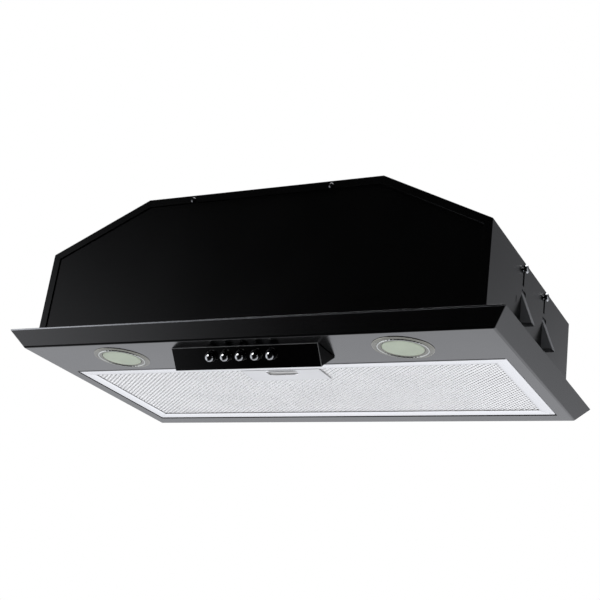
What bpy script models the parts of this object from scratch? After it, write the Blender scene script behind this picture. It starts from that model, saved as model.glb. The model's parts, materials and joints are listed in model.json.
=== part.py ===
"""A built-in canopy range hood, 52 cm wide, that is pushed up through a cut-out in a wall cabinet's floor.

X runs to the right, Y to the back and Z up, in metres. The origin is the centre of the cabinet cut-out, in
the plane of the rim's top, so everything above Z = 0 is inside the cabinet.
"""

import math

import bmesh
import bpy
from mathutils import Matrix, Vector

# Sheet metal and fits
SHEET = 0.001
GAP = 0.0003

# Canopy tray: a flat underside, a rim that slopes up and out, and a lip that presses on the cabinet
RIM_WIDTH = 0.520
RIM_DEPTH = 0.287
RIM_HEIGHT = 0.016
RIM_SLOPE = 0.013
RIM_LIP = 0.005
FLAT_Z = -RIM_HEIGHT
TRAY_TOP_Z = FLAT_Z + SHEET
OPENING_HALF = 0.2345
OPENING_FRONT = -0.056
OPENING_REAR = 0.1117

# Body: an arch of sheet metal with slanted shoulders, closed in front and behind
BODY_HALF = 0.237
BODY_FRONT = -0.127
BODY_REAR = 0.129
BODY_BOTTOM = TRAY_TOP_Z + GAP
SHOULDER_Z = 0.088
BODY_TOP = 0.141
TOP_HALF = 0.129
RETURN_FLANGE = 0.008
PANEL_FOOT = 0.006
PANEL_SCREW_X = 0.076
PANEL_SCREW_Z = 0.136
SCREW_RADIUS = 0.0015

# Duct collar with its two check flaps
COLLAR_Y = 0.022
COLLAR_RADIUS = 0.060
COLLAR_WALL = 0.0022
COLLAR_HEIGHT = 0.035
COLLAR_FLANGE = 0.070
FLAP_THICK = 0.0015
FLAP_PIN_RADIUS = 0.0015
FLAP_PIN_HEIGHT = 0.0085

# Blower: the wheel turns about X inside a spiral casing that blows up into the collar
BLOWER_Y = -0.025
BLOWER_Z = 0.068
CASING_HALF = 0.0425
TONGUE_ANGLE = math.radians(65)
TONGUE_RADIUS = 0.055
MOUTH_RADIUS = 0.076
CASING_TOP = BODY_TOP - SHEET - GAP
CASING_SHEET = 0.0012
INLET_RADIUS = 0.043
WHEEL_RADIUS = 0.050
WHEEL_HALF = 0.038
BLADES = 26
BLADE_CHORD = 0.0086
BLADE_THICK = 0.0008
BLADE_LEAN = math.radians(35)
RING_WIDTH = 0.0088
RING_THICK = 0.0014
HUB_DISC = 0.0015
HUB_RADIUS = 0.009
HUB_HALF = 0.010
SHAFT_RADIUS = 0.004
MOTOR_RADIUS = 0.031
MOTOR_WALL = 0.0015
MOTOR_START = 0.014
MOTOR_SPLIT = 0.050
MOTOR_END = 0.0615
BEARING_RADIUS = 0.008
BEARING_WIDTH = 0.005
BRACKET_THICK = 0.0015

# Electrics: the junction box and the capacitor hang from the body's top
GLAND = (-0.092, 0.087)
GLAND_HOLE = 0.0080
JUNCTION_LOW = Vector((-0.122, 0.056, 0.106))
JUNCTION_HIGH = Vector((-0.062, 0.118, BODY_TOP - SHEET - GAP))
PLASTIC_WALL = 0.0015
CAPACITOR = Vector((0.100, -0.060, 0.1235))
CAPACITOR_HALF = 0.022
CAPACITOR_RADIUS = 0.0135
MOTOR_LEAD_RADIUS = 0.0022
LAMP_LEAD_RADIUS = 0.0016

# Lamps
LAMP_X = 0.1515
LAMP_Y = -0.094
LAMP_FLANGE = 0.0282
LAMP_GLASS = 0.0199
LAMP_BARREL = 0.0240

# Control box: a three-cornered box below the front of the tray. Its face runs from an upper front edge down
# to its lowest edge, and its back runs up to the tray again. These are (y, z) points.
BOX_LEFT = -0.0800
BOX_RIGHT = 0.0765
BOX_FRONT = Vector((-0.114, FLAT_Z))
BOX_LOW = Vector((-0.100, FLAT_Z - 0.018))
BOX_BACK = Vector((-0.0745, FLAT_Z))
FASCIA_THICK = 0.002
BUTTONS = 5
BUTTON_PITCH = 0.0162
BUTTON_CENTRE_X = -0.0047
BUTTON_DOWN_FACE = 0.0091
BUTTON_HOLE = 0.0060

# Grease filter
FILTER_HALF = 0.2335
FILTER_FRONT = -0.0550
FILTER_REAR = 0.1097
FILTER_Z = -0.0157
FILTER_THICK = 0.008
FILTER_RAIL = 0.0115
FILTER_LIP = 0.0008
FILTER_WALL = 0.001
MESH_THICK = 0.0015
SEAT_FRONT = -0.0620
SEAT_REAR = 0.1195
LATCH_HALF = 0.043
LATCH_FRONT = -0.0432
LATCH_REAR = -0.0120
FINGER_SLOT = ((-0.017, -0.0410), (0.017, -0.0290))
SLIDER_FRONT = -0.0500
SLIDER_REAR = -0.0250
TONGUE_HALF = 0.0080

# Side clips that hold the hood on the cabinet's floor board
CLIP_Y = (-0.0285, 0.0405)
CLIP_SCREW_BEHIND = -0.003
CLIP_SCREW_Z = 0.0805
CLIP_APEX_Z = 0.058
CLIP_FOOT_Z = 0.028
CLIP_REACH = 0.0105
CLIP_HALF = 0.0055
CLIP_TRAVEL = 0.0125
SLOT_Z = (0.0637, 0.0850)
SLOT_HALF = 0.0023
SLIT = ((-0.0503, 0.0410), (-0.0487, 0.0475))

# (y, z) outlines run along X through this turn: local x is Y, local y is Z, local z is X
ALONG_X = Matrix(((0, 0, 1, 0), (1, 0, 0, 0), (0, 1, 0, 0), (0, 0, 0, 1)))


def clear_scene():
    for obj in list(bpy.data.objects):
        bpy.data.objects.remove(obj, do_unlink=True)


def collection(name):
    made = bpy.data.collections.new(name)
    bpy.context.scene.collection.children.link(made)
    return made


def finish(name, colour, roughness, metallic=0.0, transmission=0.0):
    made = bpy.data.materials.new(name)
    made.use_nodes = True
    shader = made.node_tree.nodes["Principled BSDF"]
    shader.inputs["Base Color"].default_value = (*colour, 1.0)
    shader.inputs["Roughness"].default_value = roughness
    shader.inputs["Metallic"].default_value = metallic
    shader.inputs["Transmission Weight"].default_value = transmission
    return made


clear_scene()
PARTS = collection("canopy_range_hood")
CUTTERS = collection("cutters")
CUTTERS.hide_render = True

PAINT = finish("dark_paint", (0.035, 0.036, 0.038), 0.32)
BLACK_PAINT = finish("black_paint", (0.012, 0.012, 0.013), 0.30)
GLOSS_BLACK = finish("gloss_black_plastic", (0.006, 0.006, 0.007), 0.08)
BLACK_PLASTIC = finish("black_plastic", (0.020, 0.020, 0.021), 0.45)
ALUMINIUM = finish("aluminium", (0.80, 0.81, 0.82), 0.30, 1.0)
CHROME = finish("chrome", (0.85, 0.85, 0.86), 0.07, 1.0)
CHAMPAGNE = finish("champagne_metal", (0.72, 0.68, 0.60), 0.28, 1.0)
FROSTED = finish("frosted_glass", (0.80, 0.84, 0.76), 0.45, 0.0, 0.3)
GALVANISED = finish("galvanised_steel", (0.58, 0.60, 0.61), 0.38, 1.0)
LAMINATION = finish("stator_steel", (0.33, 0.34, 0.36), 0.40, 1.0)
WHITE_PLASTIC = finish("white_plastic", (0.75, 0.75, 0.73), 0.40)
RUBBER = finish("rubber", (0.02, 0.02, 0.02), 0.70)
LED = finish("led_module", (0.85, 0.80, 0.45), 0.35)


# Modelling tools


def add(name, mesh, look, place=None):
    obj = bpy.data.objects.new(name, mesh)
    PARTS.objects.link(obj)
    if look:
        mesh.materials.clear()
        mesh.materials.append(look)
    if place is not None:
        obj.matrix_world = place
    return obj


def from_bmesh(name, bm, look, place=None):
    mesh = bpy.data.meshes.new(name)
    bm.to_mesh(mesh)
    bm.free()
    return add(name, mesh, look, place)


def settle(obj):
    """Replaces an object's curve or modifiers by the mesh they make, welded closed."""
    bpy.context.view_layer.update()
    graph = bpy.context.evaluated_depsgraph_get()
    mesh = bpy.data.meshes.new_from_object(obj.evaluated_get(graph))
    bm = bmesh.new()
    bm.from_mesh(mesh)
    bmesh.ops.remove_doubles(bm, verts=bm.verts, dist=0.000002)
    bmesh.ops.recalc_face_normals(bm, faces=bm.faces)
    bm.to_mesh(mesh)
    bm.free()
    name = obj.name
    look = obj.data.materials[0]
    place = obj.matrix_world.copy()
    bpy.data.objects.remove(obj, do_unlink=True)
    return add(name, mesh, look, place)


def box(name, low, high, look=None, place=None):
    """A box between two corners, with its origin at its centre."""
    low, high = Vector(low), Vector(high)
    bm = bmesh.new()
    bmesh.ops.create_cube(bm, size=1.0, matrix=Matrix.Diagonal((*(high - low), 1.0)))
    centre = Matrix.Translation((low + high) / 2)
    return from_bmesh(name, bm, look, (place or Matrix()) @ centre)


def rod(name, start, end, radius, look=None, sides=24):
    """A round bar from one point to another, with its origin at its middle."""
    start, end = Vector(start), Vector(end)
    bm = bmesh.new()
    length = (end - start).length
    bmesh.ops.create_cone(
        bm, cap_ends=True, segments=sides, radius1=radius, radius2=radius, depth=length
    )
    turn = (end - start).to_track_quat("Z", "Y").to_matrix().to_4x4()
    return from_bmesh(name, bm, look, Matrix.Translation((start + end) / 2) @ turn)


def turned(name, profile, look, place=None, steps=32, ring=True):
    """A (radius, height) profile turned about local Z, its outer side from top to bottom.

    A ring's profile is a closed outline. The profile of a solid piece starts and ends on the axis."""
    bm = bmesh.new()
    points = [bm.verts.new((radius, 0, height)) for radius, height in profile]
    for start, end in zip(points, points[1:]):
        bm.edges.new((start, end))
    if ring:
        bm.edges.new((points[-1], points[0]))
    obj = from_bmesh(name, bm, look, place)
    screw = obj.modifiers.new("turn", "SCREW")
    screw.steps = steps
    screw.render_steps = steps
    screw.use_merge_vertices = True
    screw.merge_threshold = 0.00001
    return settle(obj)


def slab(name, outlines, low, high, look=None, place=None):
    """A flat outline, with any holes after it, between two heights along local Z."""
    curve = bpy.data.curves.new(name, "CURVE")
    curve.dimensions = "2D"
    curve.fill_mode = "BOTH"
    curve.extrude = (high - low) / 2
    for outline in outlines:
        spline = curve.splines.new("POLY")
        spline.points.add(len(outline) - 1)
        for point, (x, y) in zip(spline.points, outline):
            point.co = (x, y, 0.0, 1.0)
        spline.use_cyclic_u = True
    middle = Matrix.Translation((0.0, 0.0, (low + high) / 2))
    curve.materials.append(look)
    return settle(add(name, curve, None, (place or Matrix()) @ middle))


def shell(name, faces, thick, look):
    """Sheet metal: an open surface with its outer faces given, made thick towards its inner side."""
    bm = bmesh.new()
    for corners in faces:
        bm.faces.new([bm.verts.new(corner) for corner in corners])
    bmesh.ops.remove_doubles(bm, verts=bm.verts, dist=0.00001)
    obj = from_bmesh(name, bm, look)
    solidify = obj.modifiers.new("sheet", "SOLIDIFY")
    solidify.thickness = thick
    solidify.offset = -1.0
    solidify.use_even_offset = True
    return obj


def strip(first, second, closed):
    """The quads between two rows of points."""
    count = len(first) if closed else len(first) - 1
    following = [(i, (i + 1) % len(first)) for i in range(count)]
    return [(first[i], first[j], second[j], second[i]) for i, j in following]


def tube(name, points, radius, look, bevel_resolution=2):
    """A wire through points, with closed ends."""
    curve = bpy.data.curves.new(name, "CURVE")
    curve.dimensions = "3D"
    curve.bevel_depth = radius
    curve.bevel_resolution = bevel_resolution
    curve.use_fill_caps = True
    spline = curve.splines.new("POLY")
    spline.points.add(len(points) - 1)
    for point, where in zip(spline.points, points):
        point.co = (*where, 1.0)
    curve.materials.append(look)
    return add(name, curve, None)


def smooth_route(points, steps=3):
    """Points on a smooth curve through the given ones."""
    route = [Vector(point) for point in points]
    route = [route[0]] + route + [route[-1]]
    found = []
    for before, start, end, after in zip(route, route[1:], route[2:], route[3:]):
        for step in range(steps):
            t = step / steps
            found.append(
                0.5
                * (
                    2 * start
                    + (end - before) * t
                    + (2 * before - 5 * start + 4 * end - after) * t**2
                    + (3 * start - before - 3 * end + after) * t**3
                )
            )
    return found + [route[-1]]


def circle(radius, centre=(0.0, 0.0), sides=32):
    turns = [2 * math.pi * i / sides for i in range(sides)]
    return [(centre[0] + radius * math.cos(t), centre[1] + radius * math.sin(t)) for t in turns]


def rectangle(half_width, front, rear):
    return [(-half_width, front), (half_width, front), (half_width, rear), (-half_width, rear)]


def centred(width, depth):
    return rectangle(width / 2, -depth / 2, depth / 2)


def combine(target, other, operation):
    """A Boolean on the target, with the other object kept as a hidden tool."""
    for group in list(other.users_collection):
        group.objects.unlink(other)
    CUTTERS.objects.link(other)
    other.hide_render = True
    other.display_type = "WIRE"
    modifier = target.modifiers.new(other.name, "BOOLEAN")
    modifier.operation = operation
    modifier.solver = "EXACT"
    modifier.object = other


def cut(target, *others):
    for other in others:
        combine(target, other, "DIFFERENCE")


def join(target, *others):
    for other in others:
        combine(target, other, "UNION")


# Canopy tray and filter seat


def canopy_tray():
    steps = [
        (rectangle(OPENING_HALF, OPENING_FRONT, OPENING_REAR), FLAT_Z),
        (centred(RIM_WIDTH - 2 * RIM_SLOPE, RIM_DEPTH - 2 * RIM_SLOPE), FLAT_Z),
        (centred(RIM_WIDTH, RIM_DEPTH), 0.0),
        (centred(RIM_WIDTH - 2 * RIM_LIP, RIM_DEPTH - 2 * RIM_LIP), 0.0),
    ]
    loops = [[(x, y, z) for x, y in outline] for outline, z in steps]
    faces = [face for a, b in zip(loops, loops[1:]) for face in strip(a, b, True)]
    tray = shell("canopy_tray", faces, SHEET, PAINT)
    for side in (-1, 1):
        hole = (side * LAMP_X, LAMP_Y)
        below = (*hole, FLAT_Z - SHEET)
        above = (*hole, TRAY_TOP_Z + SHEET)
        cut(tray, rod(f"lamp_hole_{side}", below, above, LAMP_BARREL + 2 * GAP, sides=32))
    low = (BOX_LEFT + 0.010, BOX_FRONT.x + 0.004, FLAT_Z - SHEET)
    high = (BOX_RIGHT - 0.010, BOX_BACK.x - 0.0045, TRAY_TOP_Z + SHEET)
    cut(tray, box("control_opening", low, high))


def filter_seat():
    """A flat frame above the filter's edges, on two feet that stand on the tray before and behind it."""
    top = FILTER_Z + FILTER_THICK + 0.0016
    outer = rectangle(OPENING_HALF, SEAT_FRONT, SEAT_REAR)
    inner = rectangle(OPENING_HALF - 0.009, OPENING_FRONT + 0.0080, OPENING_REAR - 0.0087)
    seat = slab("filter_seat", [outer, inner], top - SHEET, top, GALVANISED)
    for name, y in (("seat_foot_front", SEAT_FRONT), ("seat_foot_rear", SEAT_REAR - SHEET)):
        foot = box(
            name,
            (-OPENING_HALF + 0.004, y, TRAY_TOP_Z + GAP),
            (OPENING_HALF - 0.004, y + SHEET, top - SHEET / 2),
        )
        join(seat, foot)


# Body


def body_section(inset=0.0, bottom=BODY_BOTTOM):
    """The arch of the body, seen from the front, from its lower left corner over the top."""
    slant = Vector((TOP_HALF - BODY_HALF, BODY_TOP - SHOULDER_Z)).normalized()
    out_x, out_z = slant.y, -slant.x
    reach = out_x * BODY_HALF + out_z * SHOULDER_Z - inset
    side = BODY_HALF - inset
    top = BODY_TOP - inset
    right = [(side, bottom), (side, (reach - out_x * side) / out_z), ((reach - out_z * top) / out_x, top)]
    return [(-x, z) for x, z in right] + right[::-1]


def section_row(inset, y):
    return [(x, y, z) for x, z in body_section(inset)]


def housing_wrap():
    rows = [
        section_row(RETURN_FLANGE, BODY_FRONT),
        section_row(0.0, BODY_FRONT),
        section_row(0.0, BODY_REAR),
        section_row(RETURN_FLANGE, BODY_REAR),
    ]
    faces = [face for a, b in zip(rows, rows[1:]) for face in strip(a, b, False)]
    wrap = shell("housing_wrap", faces, SHEET, BLACK_PAINT)
    top, below = BODY_TOP + 0.004, BODY_TOP - 0.004
    cut(wrap, rod("collar_hole", (0, COLLAR_Y, below), (0, COLLAR_Y, top), 0.0585, sides=40))
    cut(wrap, rod("gland_hole", (*GLAND, below), (*GLAND, top), GLAND_HOLE, sides=20))
    for side in (-1, 1):
        x = side * PANEL_SCREW_X
        ends = ((x, BODY_FRONT - 0.004, PANEL_SCREW_Z), (x, BODY_FRONT + 0.004, PANEL_SCREW_Z))
        cut(wrap, rod(f"wrap_screw_hole_{side}", *ends, SCREW_RADIUS + GAP, sides=12))
        walls = sorted((side * (BODY_HALF - 0.004), side * (BODY_HALF + 0.004)))
        for place, y in zip(("front", "rear"), CLIP_Y):
            screw_y = y + CLIP_SCREW_BEHIND
            slot = box(
                f"screw_slot_{place}_{side}",
                (walls[0], screw_y - SLOT_HALF, SLOT_Z[0]),
                (walls[1], screw_y + SLOT_HALF, SLOT_Z[1]),
            )
            room = CLIP_HALF + 2 * GAP
            window = box(
                f"clip_window_{place}_{side}",
                (walls[0], y - room, CLIP_FOOT_Z - CLIP_TRAVEL - 0.0015),
                (walls[1], y + room, CLIP_APEX_Z + 0.0020),
            )
            cut(wrap, slot, window)
        slit_low, slit_high = SLIT
        cut(wrap, box(f"slit_{side}", (walls[0], *slit_low), (walls[1], *slit_high)))


def end_panel(name, y, inward, hole_names):
    """A panel behind the body's return flange, with a foot turned in along its lower edge."""
    inset = SHEET + 2 * GAP
    outline = [(x, y, z) for x, z in body_section(inset)]
    left, right = outline[0], outline[-1]
    foot_y = y + inward * PANEL_FOOT
    foot = [left, right, (right[0], foot_y, right[2]), (left[0], foot_y, left[2])]
    if inward > 0:
        faces = [outline[::-1], foot[::-1]]
    else:
        faces = [outline, foot]
    panel = shell(name, faces, SHEET, BLACK_PAINT)
    for hole, side in zip(hole_names, (-1, 1)):
        x = side * PANEL_SCREW_X
        ends = ((x, y - 0.004, PANEL_SCREW_Z), (x, y + 0.004, PANEL_SCREW_Z))
        cut(panel, rod(hole, *ends, SCREW_RADIUS + GAP, sides=12))


# Duct collar and check flaps


def duct_collar():
    base = BODY_TOP + GAP
    bore = COLLAR_RADIUS - COLLAR_WALL
    ledge_top = FLAP_PIN_HEIGHT - FLAP_THICK / 2 - GAP
    ledge = [(bore, ledge_top - 0.0015), (bore - 0.0033, ledge_top - 0.0015), (bore - 0.0033, ledge_top)]
    outside = [(COLLAR_RADIUS, COLLAR_HEIGHT), (COLLAR_RADIUS, 0.002), (COLLAR_FLANGE, 0.002)]
    profile = [*outside, (COLLAR_FLANGE, 0.0), (bore, 0.0), *ledge, (bore, ledge_top), (bore, COLLAR_HEIGHT)]
    place = Matrix.Translation((0, COLLAR_Y, base))
    collar = turned("duct_collar", profile, BLACK_PLASTIC, place, 36)
    pin_z = base + FLAP_PIN_HEIGHT
    ends = ((-COLLAR_FLANGE, COLLAR_Y, pin_z), (COLLAR_FLANGE, COLLAR_Y, pin_z))
    cut(collar, rod("pin_bore", *ends, FLAP_PIN_RADIUS + 0.0004, sides=12))
    reach = COLLAR_RADIUS - GAP
    rod("damper_pin", (-reach, COLLAR_Y, pin_z), (reach, COLLAR_Y, pin_z), FLAP_PIN_RADIUS, GALVANISED, 12)


def damper_flap(name, turn):
    """Half of a disc on two knuckles that turn on the pin. Its origin is on the pin's axis."""
    radius, edge = 0.0570, 0.0045
    start = math.asin(edge / radius)
    count = 14
    angles = [start + (math.pi - 2 * start) * i / count for i in range(count + 1)]
    outline = [(radius * math.cos(a), radius * math.sin(a)) for a in angles]
    pin = Matrix.Translation((0, COLLAR_Y, BODY_TOP + GAP + FLAP_PIN_HEIGHT))
    place = pin @ Matrix.Rotation(turn, 4, "Z")
    flap = slab(name, [outline], -FLAP_THICK / 2, FLAP_THICK / 2, BLACK_PLASTIC, place)
    half = FLAP_THICK / 2
    for i, x in enumerate((0.022, -0.040)):
        web = box(f"{name}_web_{i}", (x - 0.006, 0.0, -half), (x + 0.006, 0.0080, half), None, place)
        knuckle = rod(f"{name}_knuckle_{i}", (x - 0.006, 0, 0), (x + 0.006, 0, 0), 0.0032, sides=16)
        knuckle.matrix_world = place @ knuckle.matrix_world
        join(flap, web, knuckle)
    bore = rod(f"{name}_bore", (-0.060, 0, 0), (0.060, 0, 0), FLAP_PIN_RADIUS + 0.0004, sides=12)
    bore.matrix_world = place @ bore.matrix_world
    cut(flap, bore)


# Blower


def casing_path(offset=0.0):
    """The spiral from the tongue round to the mouth, with the outlet's two straight walls, as (y, z)."""
    turns = 26
    sweep = 2 * math.pi - TONGUE_ANGLE
    path = []
    for i in range(turns + 1):
        share = i / turns
        angle = TONGUE_ANGLE + sweep * share
        radius = TONGUE_RADIUS + (MOUTH_RADIUS - TONGUE_RADIUS) * share + offset
        path.append((BLOWER_Y + radius * math.cos(angle), BLOWER_Z + radius * math.sin(angle)))
    return [(path[0][0], CASING_TOP)] + path + [(path[-1][0], CASING_TOP)]


def blower_casing():
    path = casing_path()
    rows = [[(x, y, z) for y, z in path] for x in (CASING_HALF, -CASING_HALF)]
    shell("blower_band", strip(*rows, False), SHEET, GALVANISED)
    for side, name in ((-1, "blower_side_left"), (1, "blower_side_right")):
        near = side * (CASING_HALF + GAP)
        far = near + side * CASING_SHEET
        hole = circle(INLET_RADIUS, (BLOWER_Y, BLOWER_Z), 36)
        cheek = slab(name, [casing_path(0.003), hole], *sorted((near, far)), GALVANISED, ALONG_X)
        ends = sorted((near, near + side * 0.013))
        join(
            cheek,
            box(f"{name}_tab", (ends[0], 0.002, CASING_TOP - CASING_SHEET), (ends[1], 0.046, CASING_TOP)),
        )


def blower_place(along=0.0):
    """Local Z runs along the wheel's axis, to the right, from a point on it."""
    return Matrix.Translation((along, BLOWER_Y, BLOWER_Z)) @ Matrix.Rotation(math.pi / 2, 4, "Y")


def fan_wheel():
    """A disc on the shaft, which carries a ring of blades on each side."""
    bore = SHAFT_RADIUS + GAP
    disc = HUB_DISC / 2
    hub = [(HUB_RADIUS, HUB_HALF), (HUB_RADIUS, disc), (WHEEL_RADIUS, disc), (WHEEL_RADIUS, -disc)]
    profile = [*hub, (HUB_RADIUS, -disc), (HUB_RADIUS, -HUB_HALF), (bore, -HUB_HALF), (bore, HUB_HALF)]
    turned("fan_hub", profile, GALVANISED, blower_place(), BLADES)
    blade_cage("fan_blades_left", -1)
    blade_cage("fan_blades_right", 1)


def blade_cage(name, side):
    """Half of the wheel's blades between an end ring and a ring beside the disc."""
    near = side * (HUB_DISC / 2 + GAP)
    far = side * WHEEL_HALF
    rings = []
    for at, inward in ((far, -side), (near, side)):
        first, second = sorted((at, at + inward * RING_THICK))
        inner = WHEEL_RADIUS - RING_WIDTH
        outline = [(WHEEL_RADIUS, second), (WHEEL_RADIUS, first), (inner, first), (inner, second)]
        rings.append(turned(f"{name}_ring_{len(rings)}", outline, GALVANISED, blower_place(), BLADES))
    cage = rings[0]
    cage.name = name
    low, high = sorted((near + side * RING_THICK / 2, far - side * RING_THICK / 2))
    bm = bmesh.new()
    for i in range(BLADES):
        spin = Matrix.Rotation(2 * math.pi * (i + 0.5) / BLADES, 4, "Z")
        middle = Matrix.Translation((WHEEL_RADIUS - RING_WIDTH / 2 - 0.0002, 0, (low + high) / 2))
        lean = Matrix.Rotation(BLADE_LEAN, 4, "Z")
        size = Matrix.Diagonal((BLADE_CHORD, BLADE_THICK, high - low, 1.0))
        bmesh.ops.create_cube(bm, size=1.0, matrix=spin @ middle @ lean @ size)
    join(cage, from_bmesh(f"{name}_set", bm, None, blower_place()), rings[1])


def bearing(name, start):
    bore = SHAFT_RADIUS + GAP
    outer = BEARING_RADIUS
    profile = [(outer, BEARING_WIDTH), (outer, 0.0), (bore, 0.0), (bore, BEARING_WIDTH)]
    turned(name, profile, CHROME, blower_place(start), 20)


def motor():
    wall = MOTOR_RADIUS - MOTOR_WALL
    seat = BEARING_RADIUS + GAP
    boss = 0.011
    floor = MOTOR_START + 0.002
    cup = [(MOTOR_RADIUS, MOTOR_SPLIT), (MOTOR_RADIUS, MOTOR_START), (seat, MOTOR_START), (seat, 0.021)]
    cup += [(boss, 0.021), (boss, floor), (wall, floor), (wall, MOTOR_SPLIT)]
    turned("motor_case", cup, GALVANISED, blower_place(), 28)
    roof = MOTOR_END - 0.0015
    bell = [(MOTOR_RADIUS, MOTOR_END), (MOTOR_RADIUS, MOTOR_SPLIT + GAP), (wall, MOTOR_SPLIT + GAP)]
    bell += [(wall, roof), (boss, roof), (boss, 0.0545), (seat, 0.0545), (seat, MOTOR_END)]
    end_bell = turned("motor_end_bell", bell, GALVANISED, blower_place(), 28)
    for i in range(6):
        turn = blower_place(MOTOR_END) @ Matrix.Rotation(math.pi / 3 * i, 4, "Z")
        low, high = (0.0145, -0.0028, -0.004), (0.0255, 0.0028, 0.004)
        cut(end_bell, box(f"motor_vent_{i}", low, high, None, turn))
    bearing("motor_bearing_inner", 0.0150)
    bearing("motor_bearing_outer", 0.0555)
    core = [(0.0290, 0.044), (0.0290, 0.023), (0.0178, 0.023), (0.0178, 0.044)]
    turned("motor_stator", core, LAMINATION, blower_place(), 24)
    bore = SHAFT_RADIUS + GAP
    armature = [(0.0172, 0.044), (0.0172, 0.023), (bore, 0.023), (bore, 0.044)]
    turned("motor_rotor", armature, LAMINATION, blower_place(), 24)
    ends = ((-0.0125, BLOWER_Y, BLOWER_Z), (0.0660, BLOWER_Y, BLOWER_Z))
    rod("motor_shaft", *ends, SHAFT_RADIUS, CHROME, 20)


def motor_bracket():
    """A ring round the motor with three arms that end on the casing's right side."""
    start = CASING_HALF + GAP + CASING_SHEET + GAP
    place = blower_place()
    ring = [circle(0.0365, sides=28), circle(MOTOR_RADIUS + GAP, sides=28)]
    bracket = slab("motor_bracket", ring, start, start + BRACKET_THICK, GALVANISED, place)
    for i in range(3):
        arm_place = place @ Matrix.Rotation(math.radians(30 + 120 * i), 4, "Z")
        low, high = (0.0345, -0.0045, start), (0.0515, 0.0045, start + BRACKET_THICK)
        join(bracket, box(f"bracket_arm_{i}", low, high, None, arm_place))


# Electrics


def junction_box():
    """An open-bottomed box under the body's top, with its lid below it and the mains gland on top."""
    low, high = JUNCTION_LOW, JUNCTION_HIGH
    case = box("junction_box", low, high, WHITE_PLASTIC)
    inset = Vector((PLASTIC_WALL,) * 3)
    cut(case, box("junction_hollow", low + inset - Vector((0, 0, 0.01)), high - inset))
    ends = ((*GLAND, high.z - 0.006), (*GLAND, high.z + 0.006))
    cut(case, rod("junction_gland_hole", *ends, GLAND_HOLE, sides=20))
    cut(case, rod("junction_lead_hole", (-0.070, 0.100, 0.115), (-0.055, 0.100, 0.115), 0.0040, sides=12))
    lid_low = (low.x, low.y, low.z - GAP - PLASTIC_WALL)
    box("junction_lid", lid_low, (high.x, high.y, low.z - GAP), WHITE_PLASTIC)
    top = [(0.0045, 0.0140), (0.0075, 0.0140), (0.0090, 0.0110), (0.0090, 0.0035), (0.0115, 0.0030)]
    profile = [*top, (0.0115, 0.0), (0.0075, 0.0), (0.0075, -0.0110), (0.0045, -0.0110)]
    turned("cable_gland", profile, BLACK_PLASTIC, Matrix.Translation((*GLAND, BODY_TOP + GAP)), 20)


def capacitor():
    """The motor's run capacitor, which hangs from the body's top in a strap."""
    half = Vector((CAPACITOR_HALF, 0, 0))
    rod("run_capacitor", CAPACITOR - half, CAPACITOR + half, CAPACITOR_RADIUS, WHITE_PLASTIC, 24)
    inner = CAPACITOR_RADIUS + GAP
    outer = inner + SHEET
    width = 0.006
    strap = [(outer, width), (outer, -width), (inner, -width), (inner, width)]
    place = Matrix.Translation(CAPACITOR) @ Matrix.Rotation(math.pi / 2, 4, "Y")
    clip = turned("capacitor_strap", strap, GALVANISED, place, 24)
    low = CAPACITOR + Vector((-width, -0.010, (inner + outer) / 2))
    high = (CAPACITOR.x + width, CAPACITOR.y + 0.010, BODY_TOP - SHEET - GAP)
    join(clip, box("strap_tab", low, high))


def leads():
    """The loose wires inside the hood, each from one fitting to the next."""
    motor_run = [
        (-0.0605, 0.100, 0.115),
        (-0.040, 0.100, 0.116),
        (0.030, 0.098, 0.110),
        (0.072, 0.070, 0.100),
        (0.078, 0.010, 0.085),
        (0.068, -0.018, 0.078),
        (0.0625, -0.0065, 0.0785),
    ]
    tube("motor_lead", smooth_route(motor_run), MOTOR_LEAD_RADIUS, RUBBER)
    for side, name in ((-1, "lamp_lead_left"), (1, "lamp_lead_right")):
        start = side * 0.049
        lamp_run = [
            (start, -0.094, -0.0020),
            (side * 0.075, -0.088, 0.004),
            (side * 0.105, -0.078, 0.012),
            (side * 0.135, -0.085, 0.024),
            (side * LAMP_X, LAMP_Y, 0.0165),
        ]
        tube(name, smooth_route(lamp_run), LAMP_LEAD_RADIUS, RUBBER)


# Lamps


def lamp(side, place_name):
    place = Matrix.Translation((side * LAMP_X, LAMP_Y, FLAT_Z))
    barrel_in = LAMP_BARREL - 0.0018
    outside = [(LAMP_BARREL, 0.010), (LAMP_BARREL, -GAP), (LAMP_FLANGE, -GAP)]
    outside.append((LAMP_FLANGE - 0.0003, -0.0013))
    face = [(0.0262, -0.0022), (0.0238, -0.0016), (0.0222, -0.0022), (LAMP_GLASS, -0.0012)]
    inside = [(LAMP_GLASS, -0.0002), (barrel_in, -0.0002), (barrel_in, 0.010)]
    turned(f"lamp_bezel_{place_name}", outside + face + inside, CHAMPAGNE, place, 28)
    edge = barrel_in - GAP
    glass = [(0.0, 0.0022), (edge, 0.0022), (edge, 0.0001), (0.0, 0.0001)]
    turned(f"lamp_lens_{place_name}", glass, FROSTED, place, 28, ring=False)
    cup = [(LAMP_BARREL, 0.020), (LAMP_BARREL, 0.0103), (barrel_in, 0.0103), (barrel_in, 0.0190)]
    cup += [(0.016, 0.0268), (0.0030, 0.0268), (0.0030, 0.0280), (0.0165, 0.0280)]
    turned(f"lamp_cup_{place_name}", cup, ALUMINIUM, place, 24)
    board = [(0.0, 0.0185), (0.0050, 0.0185), (0.0050, 0.0160), (0.0190, 0.0160), (0.0190, 0.0140)]
    board += [(0.0080, 0.0140), (0.0080, 0.0132), (0.0, 0.0132)]
    turned(f"lamp_led_{place_name}", board, LED, place, 20, ring=False)


# Control box


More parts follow.
